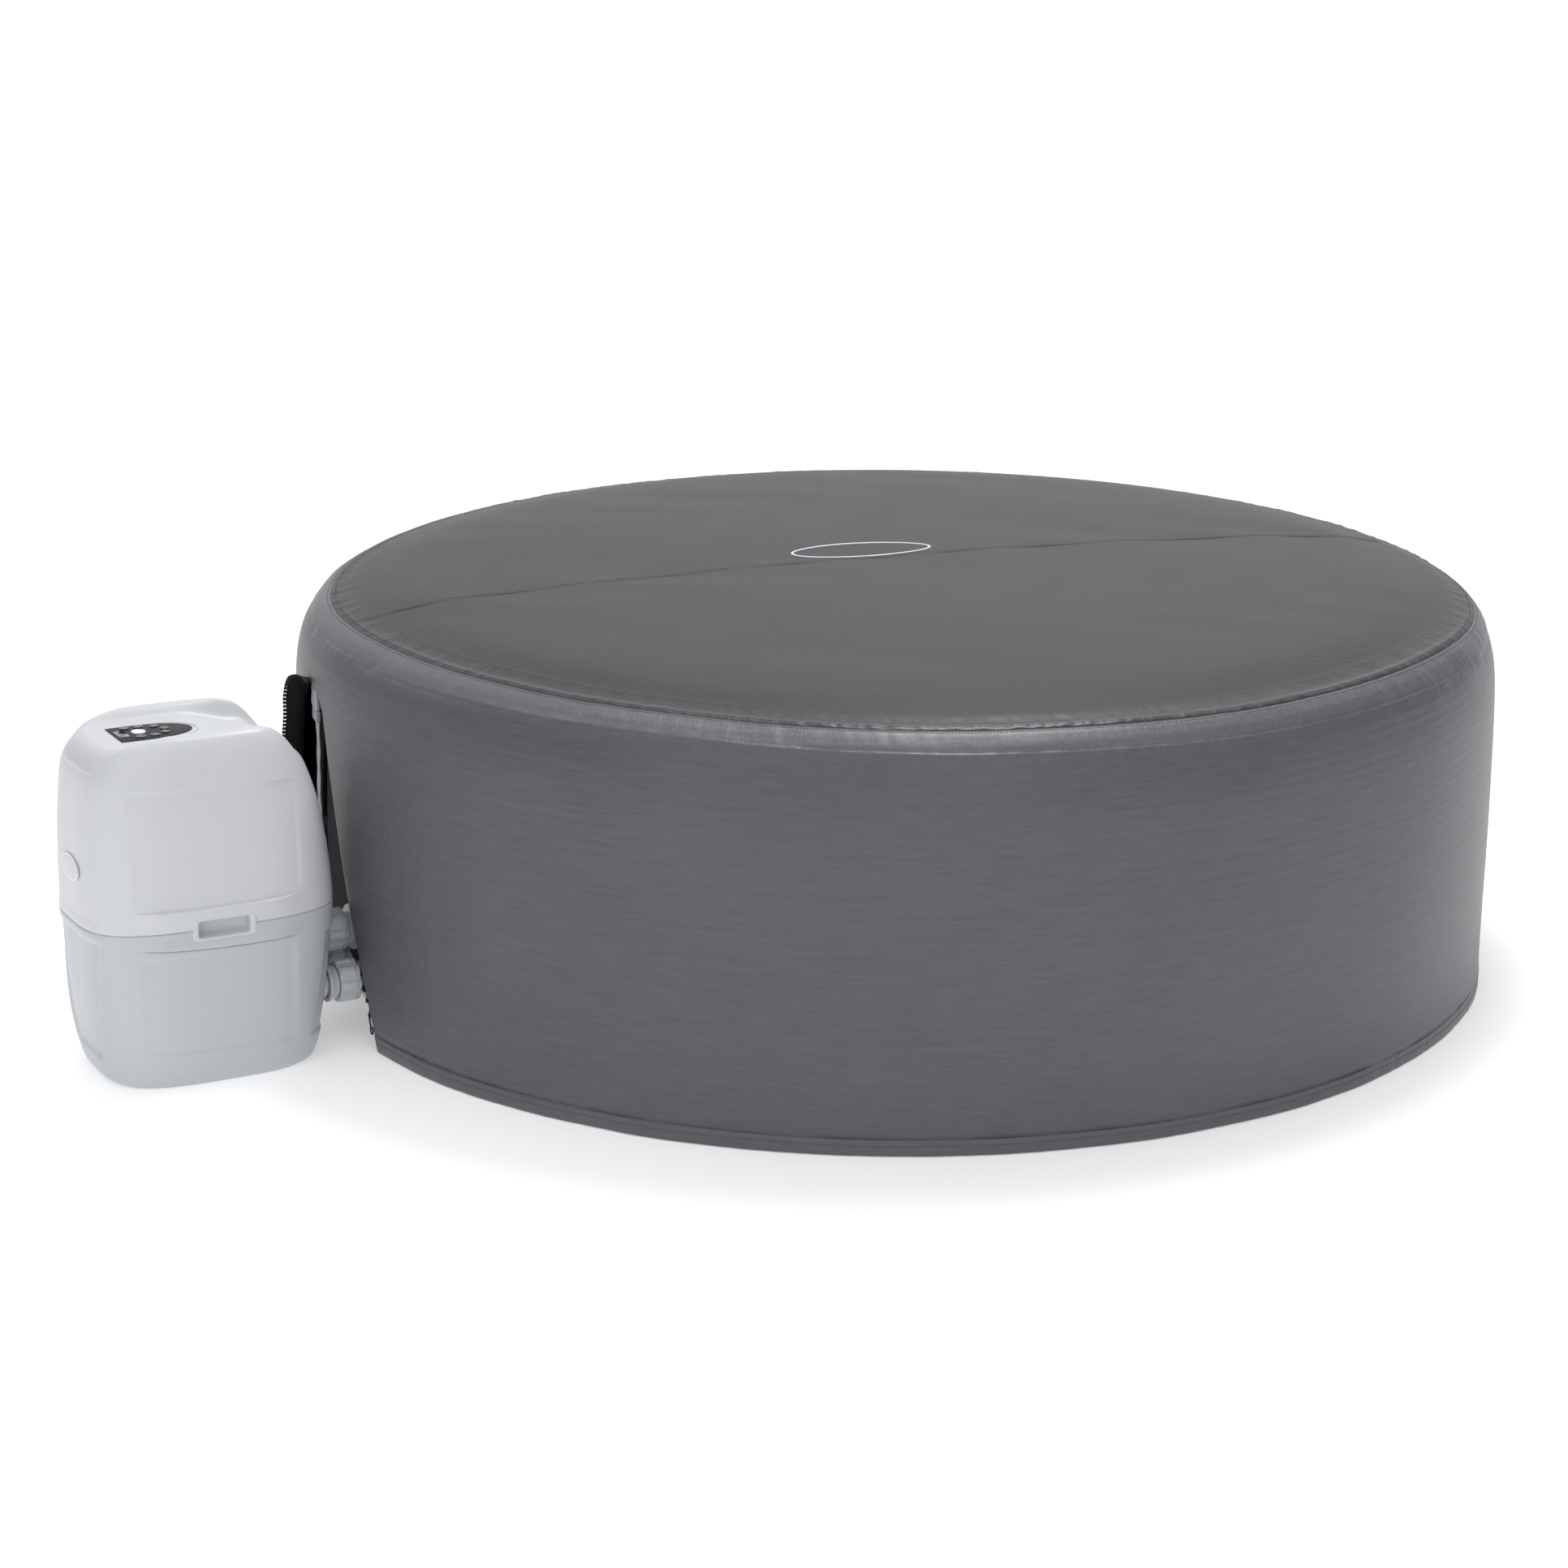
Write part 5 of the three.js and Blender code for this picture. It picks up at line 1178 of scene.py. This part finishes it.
def punch(ob, ports, R_cut, R_fit, test):
    """round holes through a surface that faces along X"""
    bm = bmesh.new(); bm.from_mesh(ob.data)
    kill = []
    for f in bm.faces:
        c = f.calc_center_median()
        if test(c) and any(math.hypot(c.y - py, c.z - pz) < R_cut for py, pz in ports):
            kill.append(f)
    bmesh.ops.delete(bm, geom=kill, context="FACES")
    for v in bm.verts:
        if v.is_boundary and test(v.co):
            for py, pz in ports:
                d = Vector((v.co.y - py, v.co.z - pz))
                if d.length < R_cut * 1.6:
                    d = d.normalized() * R_fit; v.co.y, v.co.z = py + d.x, pz + d.y
    bm.to_mesh(ob.data); bm.free()


nth, nps = 96, 720
# denser columns near the ports
base_ps = np.linspace(0, 360, nps, endpoint=False)
extra = np.linspace(168, 192, 240)
PSW = np.unique(np.round(np.concatenate([base_ps, extra]), 4))
th = np.concatenate([np.linspace(-180, 180, nth, endpoint=False), ])
zden = np.unique(np.concatenate([np.linspace(.0, .6, 60), np.linspace(.06, .21, 76)]))
sec = []
n_ = 2.8
for zz_ in zden:      # outer side going up
    q = min(1, abs((zz_ - .3) / .3)); sec.append((.830 + .125 * (1 - q ** n_) ** (1 / n_), zz_, 1))
for r_ in np.linspace(.93, .73, 26)[1:-1]:
    q = min(1, abs((r_ - .83) / .125)); sec.append((r_, .3 + .3 * (1 - q ** n_) ** (1 / n_), 2))
for zz_ in zden[::-1]:
    q = min(1, abs((zz_ - .3) / .3)); sec.append((.830 - .125 * (1 - q ** n_) ** (1 / n_), zz_, 3))
for r_ in np.linspace(.73, .93, 20)[1:-1]:
    q = min(1, abs((r_ - .83) / .125)); sec.append((r_, .3 - .3 * (1 - q ** n_) ** (1 / n_), 4))
sec = np.array(sec)
ang = np.arctan2((sec[:, 1] - .3) / .3, (sec[:, 0] - .83) / .125)
order = np.argsort(ang); sec = sec[order]
keepm = np.concatenate([[True], np.hypot(np.diff(sec[:, 0]), np.diff(sec[:, 1])) > .0012]); sec = sec[keepm]
d = np.roll(sec[:, :2], -1, 0) - np.roll(sec[:, :2], 1, 0); nrm = np.stack([d[:, 1], -d[:, 0]], -1); nrm /= np.linalg.norm(nrm, axis=1)[:, None] + 1e-9
pr = np.radians(PSW)[None, :]
ribd = np.abs(((PSW / 10 + .5) % 1) - .5) * 10 / 360 * TAU * .83       # metres from the nearest inner web
rib = -np.exp(-(ribd / .014) ** 2) * .0042 - .0012 * np.exp(-(ribd / .003) ** 2)
wr = np.abs(nrm[:, 0])[:, None] ** 1.5
offw = rib[None, :] * wr + .0006 * np.sin(PSW[None, :] * .9 + sec[:, 1][:, None] * 22) * wr
# small creases where the wall is welded to its webs
offw = offw + wr * .0007 * np.exp(-(ribd[None, :] / .02) ** 2) * np.sin(sec[:, 1][:, None] * 260 + PSW[None, :] * 3)
flatp = np.exp(-(((PSW[None, :] - 180) / 5.5) ** 4)) * np.exp(-(((sec[:, 1][:, None] - .13) / .085) ** 4))
offw = offw * (1 - flatp)
RR = sec[:, 0][:, None] + nrm[:, 0][:, None] * offw; ZZ = np.clip(sec[:, 1][:, None] + nrm[:, 1][:, None] * offw, .0005, .5995)
V = np.stack([RR * np.cos(pr), RR * np.sin(pr), ZZ], -1)
nr, nc = RR.shape
c = np.arange(nc); c2 = (c + 1) % nc
F = np.concatenate([quads(nr, nc, True), np.stack([(nr - 1) * nc + c, (nr - 1) * nc + c2, c2, c], -1)])
cen_r = np.repeat((sec[:, 0] + np.roll(sec[:, 0], -1)) / 2, nc); cen_z = np.repeat((sec[:, 1] + np.roll(sec[:, 1], -1)) / 2, nc)
midx = ((cen_r < .842) & ~(cen_z < .05) | (cen_r < .80)).astype(int)
uvw = np.stack([np.repeat((PSW / 360 * TAU * .83)[None], nr, 0), np.repeat(np.concatenate([[0], np.cumsum(np.linalg.norm(np.diff(sec[:, :2], axis=0), axis=1))])[:, None], nc, 1)], -1)
wall = mesh("tub_wall_inflated", V, F, [M_SKIN, M_LINER], uv=uvw, midx=midx[:len(F)])
add_attr(wall, "pucker", (.35 + .6 * np.exp(-(ribd[None, :] / .03) ** 2) * np.ones((nr, 1))).ravel())
punch(wall, PORTS.values(), .0205, .0212, lambda c: c.x < -.6)
put(wall, "tub", ["tub_wall"])
# welded rim tape round the top, where the two skins meet
rt = np.array([(.8415 + .0001, .5998)])
v, f = lathe([(.8350, .5990), (.8350, .6004), (.8362, .6010), (.8478, .6010), (.8490, .6004), (.8490, .5990)], 360, closed=True)
put(mesh("tub_wall_weld_tape", v, f, [M_SKIN], uv=v[:, :2], recalc=True), "tub")
for nm, zq in (("lower", .050), ("upper", .520)):
    rq = .830 + .125 * (1 - abs((zq - .3) / .3) ** n_) ** (1 / n_)
    ps = np.linspace(0, 360, 720, endpoint=False)
    v, f = tube(np.column_stack([(rq - .0003) * np.cos(np.radians(ps)), (rq - .0003) * np.sin(np.radians(ps)), np.full(720, zq)]), .0016, 8, closed=True)
    put(mesh(f"tub_wall_weld_line_{nm}", v, f, [M_SKIN], uv=v[:, :2]), "tub")

# floor: quilted by weld dots
nr_, nc_ = 150, 288
rr_ = np.concatenate([np.linspace(.0008, .742, nr_), [.748, .754, .760, .764]])
pp = np.arange(nc_) / nc_ * TAU
Xf, Yf = rr_[:, None] * np.cos(pp), rr_[:, None] * np.sin(pp)
Zf = np.full_like(Xf, .0150); Zf[-4:] = np.array([.0146, .0136, .0120, .0100])[:, None]
px_, py_ = Xf / .085, Yf / .085
dot = np.hypot((px_ - np.round(px_)) * .085, (py_ - np.round(py_)) * .085)
Zf = Zf - .0032 * np.exp(-(dot / .012) ** 2) * (rr_[:, None] < .72) + .0010 * np.cos(px_ * TAU / 2) * np.cos(py_ * TAU / 2) * (rr_[:, None] < .74)
Vf = np.stack([Xf, Yf, Zf], -1).reshape(-1, 3)
Ff = [tuple(x) for x in quads(len(rr_), nc_, True)] + [tuple(range(nc_))[::-1]]
bot = len(Vf); Vf = np.concatenate([Vf, np.stack([.764 * np.cos(pp), .764 * np.sin(pp), np.full(nc_, .0006)], -1)])
top0 = (len(rr_) - 1) * nc_
Ff += [(top0 + (i + 1) % nc_, top0 + i, bot + i, bot + (i + 1) % nc_) for i in range(nc_)] + [tuple(bot + i for i in range(nc_))[::-1]]
fl = mesh("tub_floor_pad", Vf, Ff, [M_LINER], recalc=True); put(fl, "tub", ["tub_floor"])

# ring with the air holes, near the foot of the wall
ps = np.linspace(0, 360, 1440, endpoint=False)
sec2 = rsect([(.712, .026), (.731, .026), (.722, .062), (.706, .062)], .003, 5)
v, f = lathe(sec2, 360, closed=True)
ring = mesh("air_jet_ring_moulding", v, f, [M_LINER], recalc=True); put(ring, "tub", ["air_jet_ring"])
parts = []
for i in range(120):
    a = i * 3.0
    ve, fe = lathe([(.0016, .0004), (.0026, .0008), (.0034, .0003), (.0036, -.0008), (.0014, -.0008)], 12, closed=True)
    # inner face leans: local z points to the tub's centre
    rloc = .709 - .0002
    ca, sa = cos(rad(a)), sin(rad(a))
    parts.append(xf((ve, fe), frame_at((rloc * ca, rloc * sa, .044), (-sa, ca, 0), (.164 * ca, .164 * sa, -.986), (-.986 * ca, -.986 * sa, -.164))))
put(mesh("air_jet_holes", *join_parts(parts), [M_BLACK], recalc=True), "tub")

# inflated lid under the top panel
lr = np.array([.0, .2, .4, .6, .72, .78, .82, .845])
up_line = [(r_, float(np.interp(-r_, -BASE[:, 0][BS > .62], BASE[:, 1][BS > .62])) - .0085) for r_ in lr]
edge_ = [(.858, .6270), (.868, .6205), (.8725, .6130), (.870, .6070), (.862, .6040)]
prof = catmull(np.array(up_line + edge_), 6)
prof = np.vstack([prof, [[.70, .6040], [.40, .6040], [.001, .6040]]])[::-1]
NL = 480
pL = np.arange(NL) / NL * TAU
Rl = prof[:, 0][:, None] * np.ones(NL); Zl = prof[:, 1][:, None] * np.ones(NL)
topmask = (prof[:, 1] > .6045)[:, None]
cellx, celly = Rl * np.cos(pL) / .16, Rl * np.sin(pL) / .16
Zl = Zl - topmask * .0010 * np.exp(-(np.abs(cellx - np.round(cellx)) * .16 / .008) ** 2) * (Rl < .83)
botm = (prof[:, 1] < .6042)[:, None] * (Rl < .80)
Zl = Zl + botm * .0022 * np.exp(-(np.abs(cellx - np.round(cellx)) * .16 / .010) ** 2)
V = np.stack([Rl * np.cos(pL), Rl * np.sin(pL), Zl], -1).reshape(-1, 3)
Fq = [tuple(x) for x in quads(len(prof), NL, True)]
Fq.append(tuple(range(NL))[::-1]); Fq.append(tuple((len(prof) - 1) * NL + i for i in range(NL)))
lid = mesh("inflated_lid_cushion", V, Fq, [M_LIDSKIN], recalc=True); put(lid, "cover", ["inflated_lid"])
v, f = lathe(rsect([(.0001, .5998), (.020, .5998), (.020, .6036), (.016, .6036), (.016, .612), (.0001, .612)], .001, 3, closed=False), 48)
pg = mesh("lid_air_plug_cap", xf((v, f), T(-.430, .060, 0))[0], f, [M_FIT], sharp=40, recalc=True); put(pg, "cover", ["lid_air_plug"])

# ---------------------------------------------------------------- fittings
for tag, (py, pz) in PORTS.items():
    l_, h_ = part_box("wall_fitting_" + tag)
    fz_ = .9545 if tag == "air" else .951
    s_ = rsect([(.019, -h_.x), (.023, -h_.x), (.023, fz_ - .0), (.036, fz_), (.036, fz_ + .005), (.0245, fz_ + .005), (.0245, .976), (.0232, .9765), (.0232, -l_.x), (.019, -l_.x)], .0008, 3)
    v, f = lathe(s_, 72, closed=True)
    put(mesh(f"wall_fitting_{tag}_moulding", xf((v, f), MINUS_X(0, py, pz))[0], f, [M_FIT], sharp=40, recalc=True), "tub", ["wall_fitting_" + tag])
    # union nut with grip lugs
    m_ = 160; fa = np.arange(m_) / m_ * TAU
    lug = smooth01(.15, .75, np.cos(8 * fa) * .5 + .5)
    ro = .0308 + .0032 * lug
    lv = []
    for z_, dr, k in ((.9732, -.0020, 1), (.9737, -.0008, 1), (.9750, 0, 1), (.9788, 0, 1), (.9796, -.0008 * 0 - .0010, .3), (.9806, -.0010, .3), (.9814, 0, 1), (1.0020, 0, 1), (1.0050, -.0004, .9), (1.0064, -.0012, .8), (1.0070, -.0026, .6)):
        r_ = .0308 + .0032 * lug * k + dr; lv.append(np.column_stack([r_ * np.cos(fa), r_ * np.sin(fa), np.full(m_, z_)]))
    for rr__, z_ in ((.0262, 1.0070), (.0248, 1.0060), (.0240, 1.0040), (.0240, .9890), (.0248, .9760), (.0258, .9734), (.0270, .9730)):
        lv.append(np.column_stack([rr__ * np.cos(fa), rr__ * np.sin(fa), np.full(m_, z_)]))
    A_ = np.concatenate(lv); kk = len(lv)
    cc = np.arange(m_); c2 = (cc + 1) % m_
    F_ = np.concatenate([quads(kk, m_, True), np.stack([(kk - 1) * m_ + cc, (kk - 1) * m_ + c2, c2, cc], -1)])
    put(mesh(f"union_nut_{tag}_moulding", xf((A_, F_), MINUS_X(0, py, pz))[0], F_, [M_FIT], sharp=35, recalc=True), "union_nut_" + tag, ["union_nut_" + tag])
    # collar where the pump's own pipe leaves its housing
    v, f = lathe(rsect([(.0232, 1.0076), (.0258, 1.0076), (.0268, 1.0170), (.0300, 1.0185), (.0300, 1.0240), (.0232, 1.0240)], .0008, 3), 72, closed=True)
    put(mesh(f"pump_port_collar_{tag}", xf((v, f), MINUS_X(0, py, pz))[0], f, [M_BASE], sharp=40, recalc=True), "pump")

# water return nozzle, filter housing and cap on the inner wall
py, pz = PORTS["outlet"]
s_ = rsect([(.011, .672), (.015, .6525), (.0215, .652), (.0255, .6565), (.0255, .700), (.0234, .700), (.0234, .672)], .001, 4)
v, f = lathe(s_, 64, closed=True)
put(mesh("return_nozzle_moulding", xf((v, f), MINUS_X(0, py, pz))[0], f, [M_FIT], sharp=40, recalc=True), "tub", ["return_jet_nozzle"])
py, pz = PORTS["inlet"]
s_ = rsect([(.047, .590), (.050, .590), (.050, .680), (.046, .686), (.0235, .686), (.0235, .682), (.047, .682)], .0015, 4)
v, f = lathe(s_, 96, closed=True)
put(mesh("filter_housing_moulding", xf((v, f), MINUS_X(0, py, pz))[0], f, [M_FIT], sharp=40, recalc=True), "tub", ["filter_housing"])
parts = []
for i in range(24):
    a = i * 15.0
    v, f = extrude(rrect(.0030, .060, .0014, 4), .0012, .0004, 2, 0)
    parts.append(xf((v, f), MINUS_X(0, py, pz) @ R(a, "Z") @ T(.0496, 0, .638) @ R(90, "Y") @ R(90, "Z")))
put(mesh("filter_housing_ribs", *join_parts(parts), [M_FIT], sharp=40), "tub")
cap = []
m_ = 144; fa = np.arange(m_) / m_ * TAU
scal = .0492 + .0008 * np.cos(24 * fa)
lv = [np.column_stack([r_ * np.cos(fa), r_ * np.sin(fa), np.full(m_, z_)]) for r_, z_ in ((.0001 + 0 * fa, .6006), (.0448 + 0 * fa, .6006), (.0450 + 0 * fa, .5900), (scal - .0006, .5897), (scal, .5885), (scal, .5830), (scal - .0012, .5812), (scal - .005, .5802), (.030 + 0 * fa, .5800), (.0001 + 0 * fa, .5800))]
A_ = np.concatenate(lv); F_ = quads(len(lv), m_, True)
cap.append((A_, F_))
v, f = extrude(rrect(.056, .010, .004, 5), .0095, .0016, 3, .5718); cap.append((v, f))
put(mesh("filter_cap_moulding", *[xf(join_parts(cap), MINUS_X(0, py, pz))[k] for k in (0, 1)], [M_FIT], sharp=40, recalc=True), "filter", ["filter_cap"])
# air duct box on the inner wall
parts = []
v, f = rr_loft([(.050, .158, .006, -.0140), (.050, .158, .006, .0115), (.0492, .1572, .0058, .0132), (.0470, .155, .005, .0140), (.030, .138, .004, .0141)], 6)
l_, h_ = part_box("air_duct")
cx_, cy_, cz_ = (l_ + h_) / 2
put(mesh("air_duct_moulding", xf((v, f), frame_at((cx_, cy_, cz_), (0, 1, 0), (0, 0, 1), (1, 0, 0)))[0], f, [M_LINER], sharp=50, recalc=True), "tub", ["air_duct"])

# valves with their caps
for nm, psi, z_, body_r, cap_r, rb in (("air_valve", 168.5, .262, .027, .024, .957), ("drain_valve", 132, .170, .020, .017, .9556)):
    v, f = lathe(rsect([(.012 if cap_r < .02 else .018, rb - .0005), (body_r, rb - .0005), (body_r, rb + .0022), (.012 if cap_r < .02 else .018, rb + .0028)], .0008, 3), 64, closed=True)
    l_, h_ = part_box(nm)
    ro_ = .014 if cap_r < .02 else .020; ri_ = .010 if cap_r < .02 else .015
    rin = .696 if cap_r < .02 else .925
    v2, f2 = lathe(rsect([(ri_, rin), (ro_, rin), (ro_, rb + .001), (ri_, rb + .001)], .0006, 2), 64, closed=True)
    put(mesh(nm + "_moulding", *[xf(join_parts([(v, f), (v2, f2)]), outward(psi, 0, z_))[k] for k in (0, 1)], [M_FIT], sharp=40, recalc=True), "tub", [nm])
    m_ = 120; fa = np.arange(m_) / m_ * TAU
    r0_ = .960 if cap_r > .02 else .959
    sc_ = cap_r - .0007 + .0007 * np.cos(30 * fa)
    lv = [np.column_stack([r_ * np.cos(fa), r_ * np.sin(fa), np.full(m_, z2)]) for r_, z2 in ((.0001 + 0 * fa, r0_ - .010), ((.0143 if cap_r > .02 else .0094) + 0 * fa, r0_ - .010), ((.0145 if cap_r > .02 else .0095) + 0 * fa, r0_ + .0002), (sc_ - .0008, r0_ + .0003), (sc_, r0_ + .0012), (sc_, r0_ + .0062), (sc_ - .0008, r0_ + .0074), (sc_ - .003, r0_ + .0080), (cap_r * .62 + 0 * fa, r0_ + .0078), (cap_r * .55 + 0 * fa, r0_ + .0068), (.0001 + 0 * fa, r0_ + .0066))]
    A_ = np.concatenate(lv); F_ = quads(len(lv), m_, True)
    v3, f3 = extrude(rrect(cap_r * .95, .0030, .0013, 4), .0022, .0006, 2, r0_ + .0060)
    cn = "air_valve_cap" if nm == "air_valve" else "drain_cap"
    put(mesh(cn + "_moulding", *[xf(join_parts([(A_, F_), (v3, f3)]), outward(psi, 0, z_))[k] for k in (0, 1)], [M_FIT], sharp=40, recalc=True), cn, [cn])
# section of a small collar and strain relief where the supply cord would enter; it is lathed but not made into a mesh
v, f = lathe(rsect([(.0044, .0015), (.0110, .0015), (.0135, .0005), (.0150, .0), (.0150, .0085), (.0130, .0092), (.0095, .0096), (.0085, .0140), (.0044, .0150)], .0006, 3), 64, closed=True)

# ---------------------------------------------------------------- internal and small CAD pieces keep their CAD shape, with real finishes
KEEP = {"steel": M_STEEL, "board": M_BOARD, "rubber": M_RUBBER, "filter_paper": M_PAPER, "pump_shell": M_PUMP, "pump_base": M_BASE,
        "fitting": M_FIT, "black_plastic": M_BLACK, "panel": M_PANEL, "zip": M_TEETH, "buckle": M_BUCKLE, "webbing": M_WEB, "print": M_PRINT,
        "button_dark": M_BTN, "button_white": M_WHITE, "cover_fabric": M_COVER, "lining": M_LINING, "tub_skin": M_SKIN, "liner": M_LINER, "display": M_DISPLAY}
BYNODE = {"impeller": M_BLACK, "pump_volute": M_BLACK, "blower_fan": M_WHITE, "air_blower": M_FIT, "pump_motor": M_STEEL, "heater_tube": M_STEEL, "blower_motor": M_STEEL,
          "control_board": M_BOARD, "cord_gland": M_RUBBER, "port_gasket_outlet": M_RUBBER, "port_gasket_inlet": M_RUBBER, "filter_cartridge": M_PAPER}
for nm, o in N.items():
    if o.hide_render:
        continue
    old = o.data.materials[0].name.split(".")[0] if o.data.materials and o.data.materials[0] else ""
    mt = BYNODE.get(nm) or KEEP.get(old, M_FIT)
    o.data.materials.clear(); o.data.materials.append(mt)
    o.data.set_sharp_from_angle(angle=rad(35))
    be = o.modifiers.new("edge", "BEVEL"); be.width = .0005; be.segments = 2; be.limit_method = "ANGLE"; be.angle_limit = rad(35)
WORLD = 1.0
LIGHTS = [("overhead", (.55, .1, 3.4), (.1, 0, .4), (1.1, 1.1), 56),
          ("key_left", (-4.5, -3.2, 3.0), (-.4, 0, .3), (2.2, 2.2), 6),
          ("front_fill", (-1.0, -6.5, 3.4), (0, 0, .3), (3.5, 2.0), 11)]

# ---------------------------------------------------------------- floor, light, camera
fm = NT("studio_floor")
fm = fm.set(Base_Color=fm.ramp(fm.noise(fm.coord("Object"), .6, 2), [(0, (.955, .955, .955)), (1, (.965, .965, .965))]), Roughness=.9, Specular_IOR_Level=.1, Emission_Color=(1, 1, 1, 1), Emission_Strength=.31)
v, f = lathe([(40, -.004), (40, -.0005)], 96)
floor = mesh("studio_floor_disc", v, f, [fm], smooth=False, recalc=True)

w = bpy.data.worlds.new("studio"); bpy.context.scene.world = w; w.use_nodes = True
bgn = w.node_tree.nodes["Background"]; bgn.inputs[1].default_value = WORLD
tcn = w.node_tree.nodes.new("ShaderNodeTexCoord"); dot = w.node_tree.nodes.new("ShaderNodeVectorMath"); dot.operation = "DOT_PRODUCT"
dot.inputs[1].default_value = (.8746, -.4848, 0)
ab = w.node_tree.nodes.new("ShaderNodeMath"); ab.operation = "MULTIPLY_ADD"; ab.inputs[1].default_value = .5; ab.inputs[2].default_value = .5
rp_ = w.node_tree.nodes.new("ShaderNodeValToRGB"); rp_.color_ramp.interpolation = "EASE"
rp_.color_ramp.elements[0].position = .02; rp_.color_ramp.elements[0].color = (.24, .24, .25, 1)
rp_.color_ramp.elements[1].position = .96; rp_.color_ramp.elements[1].color = (.12, .12, .13, 1)
for q_, c_ in ((.28, (.99, .995, 1.0, 1)), (.64, (.99, .99, 1.0, 1))):
    rp_.color_ramp.elements.new(q_).color = c_
w.node_tree.links.new(tcn.outputs["Generated"], dot.inputs[0]); w.node_tree.links.new(dot.outputs["Value"], ab.inputs[0])
w.node_tree.links.new(ab.outputs[0], rp_.inputs[0]); w.node_tree.links.new(rp_.outputs[0], bgn.inputs[0])


def area(name, loc, target, size, power, color=(1, 1, 1)):
    l = bpy.data.lights.new(name, "AREA"); l.shape = "RECTANGLE"; l.size, l.size_y = size; l.energy = power; l.color = color
    o = bpy.data.objects.new(name, l); bpy.context.scene.collection.objects.link(o)
    o.location = loc
    o.rotation_mode = "QUATERNION"; o.rotation_quaternion = (Vector(target) - Vector(loc)).to_track_quat("-Z", "Y")
    return o


for nm, loc, tgt, size, pw in LIGHTS:
    area(nm, loc, tgt, size, pw)

cam = bpy.data.cameras.new("camera"); cam.lens = 91.3; cam.sensor_width = 36; cam.clip_end = 200
co = bpy.data.objects.new("camera", cam); bpy.context.scene.collection.objects.link(co)
pitch, roll, yaw = .28117, .00428, .02818
fw = Vector((-sin(yaw) * cos(pitch), cos(yaw) * cos(pitch), -sin(pitch)))
r0 = Vector((cos(yaw), sin(yaw), 0)); u0 = r0.cross(fw)
r1 = cos(roll) * r0 + sin(roll) * u0; u1 = -sin(roll) * r0 + cos(roll) * u0
C = Vector((0, 0, .35)) + 6.60414 * Vector((0, -cos(.27098), sin(.27098)))
Rz = Matrix.Rotation(rad(-29), 3, "Z")
M = Matrix((Rz @ r1, Rz @ u1, -(Rz @ fw))).transposed().to_4x4(); M.translation = Rz @ C
co.matrix_world = M
bpy.context.scene.camera = co
bpy.context.scene.view_settings.view_transform = "Standard"
bpy.context.scene.view_settings.look = "None"
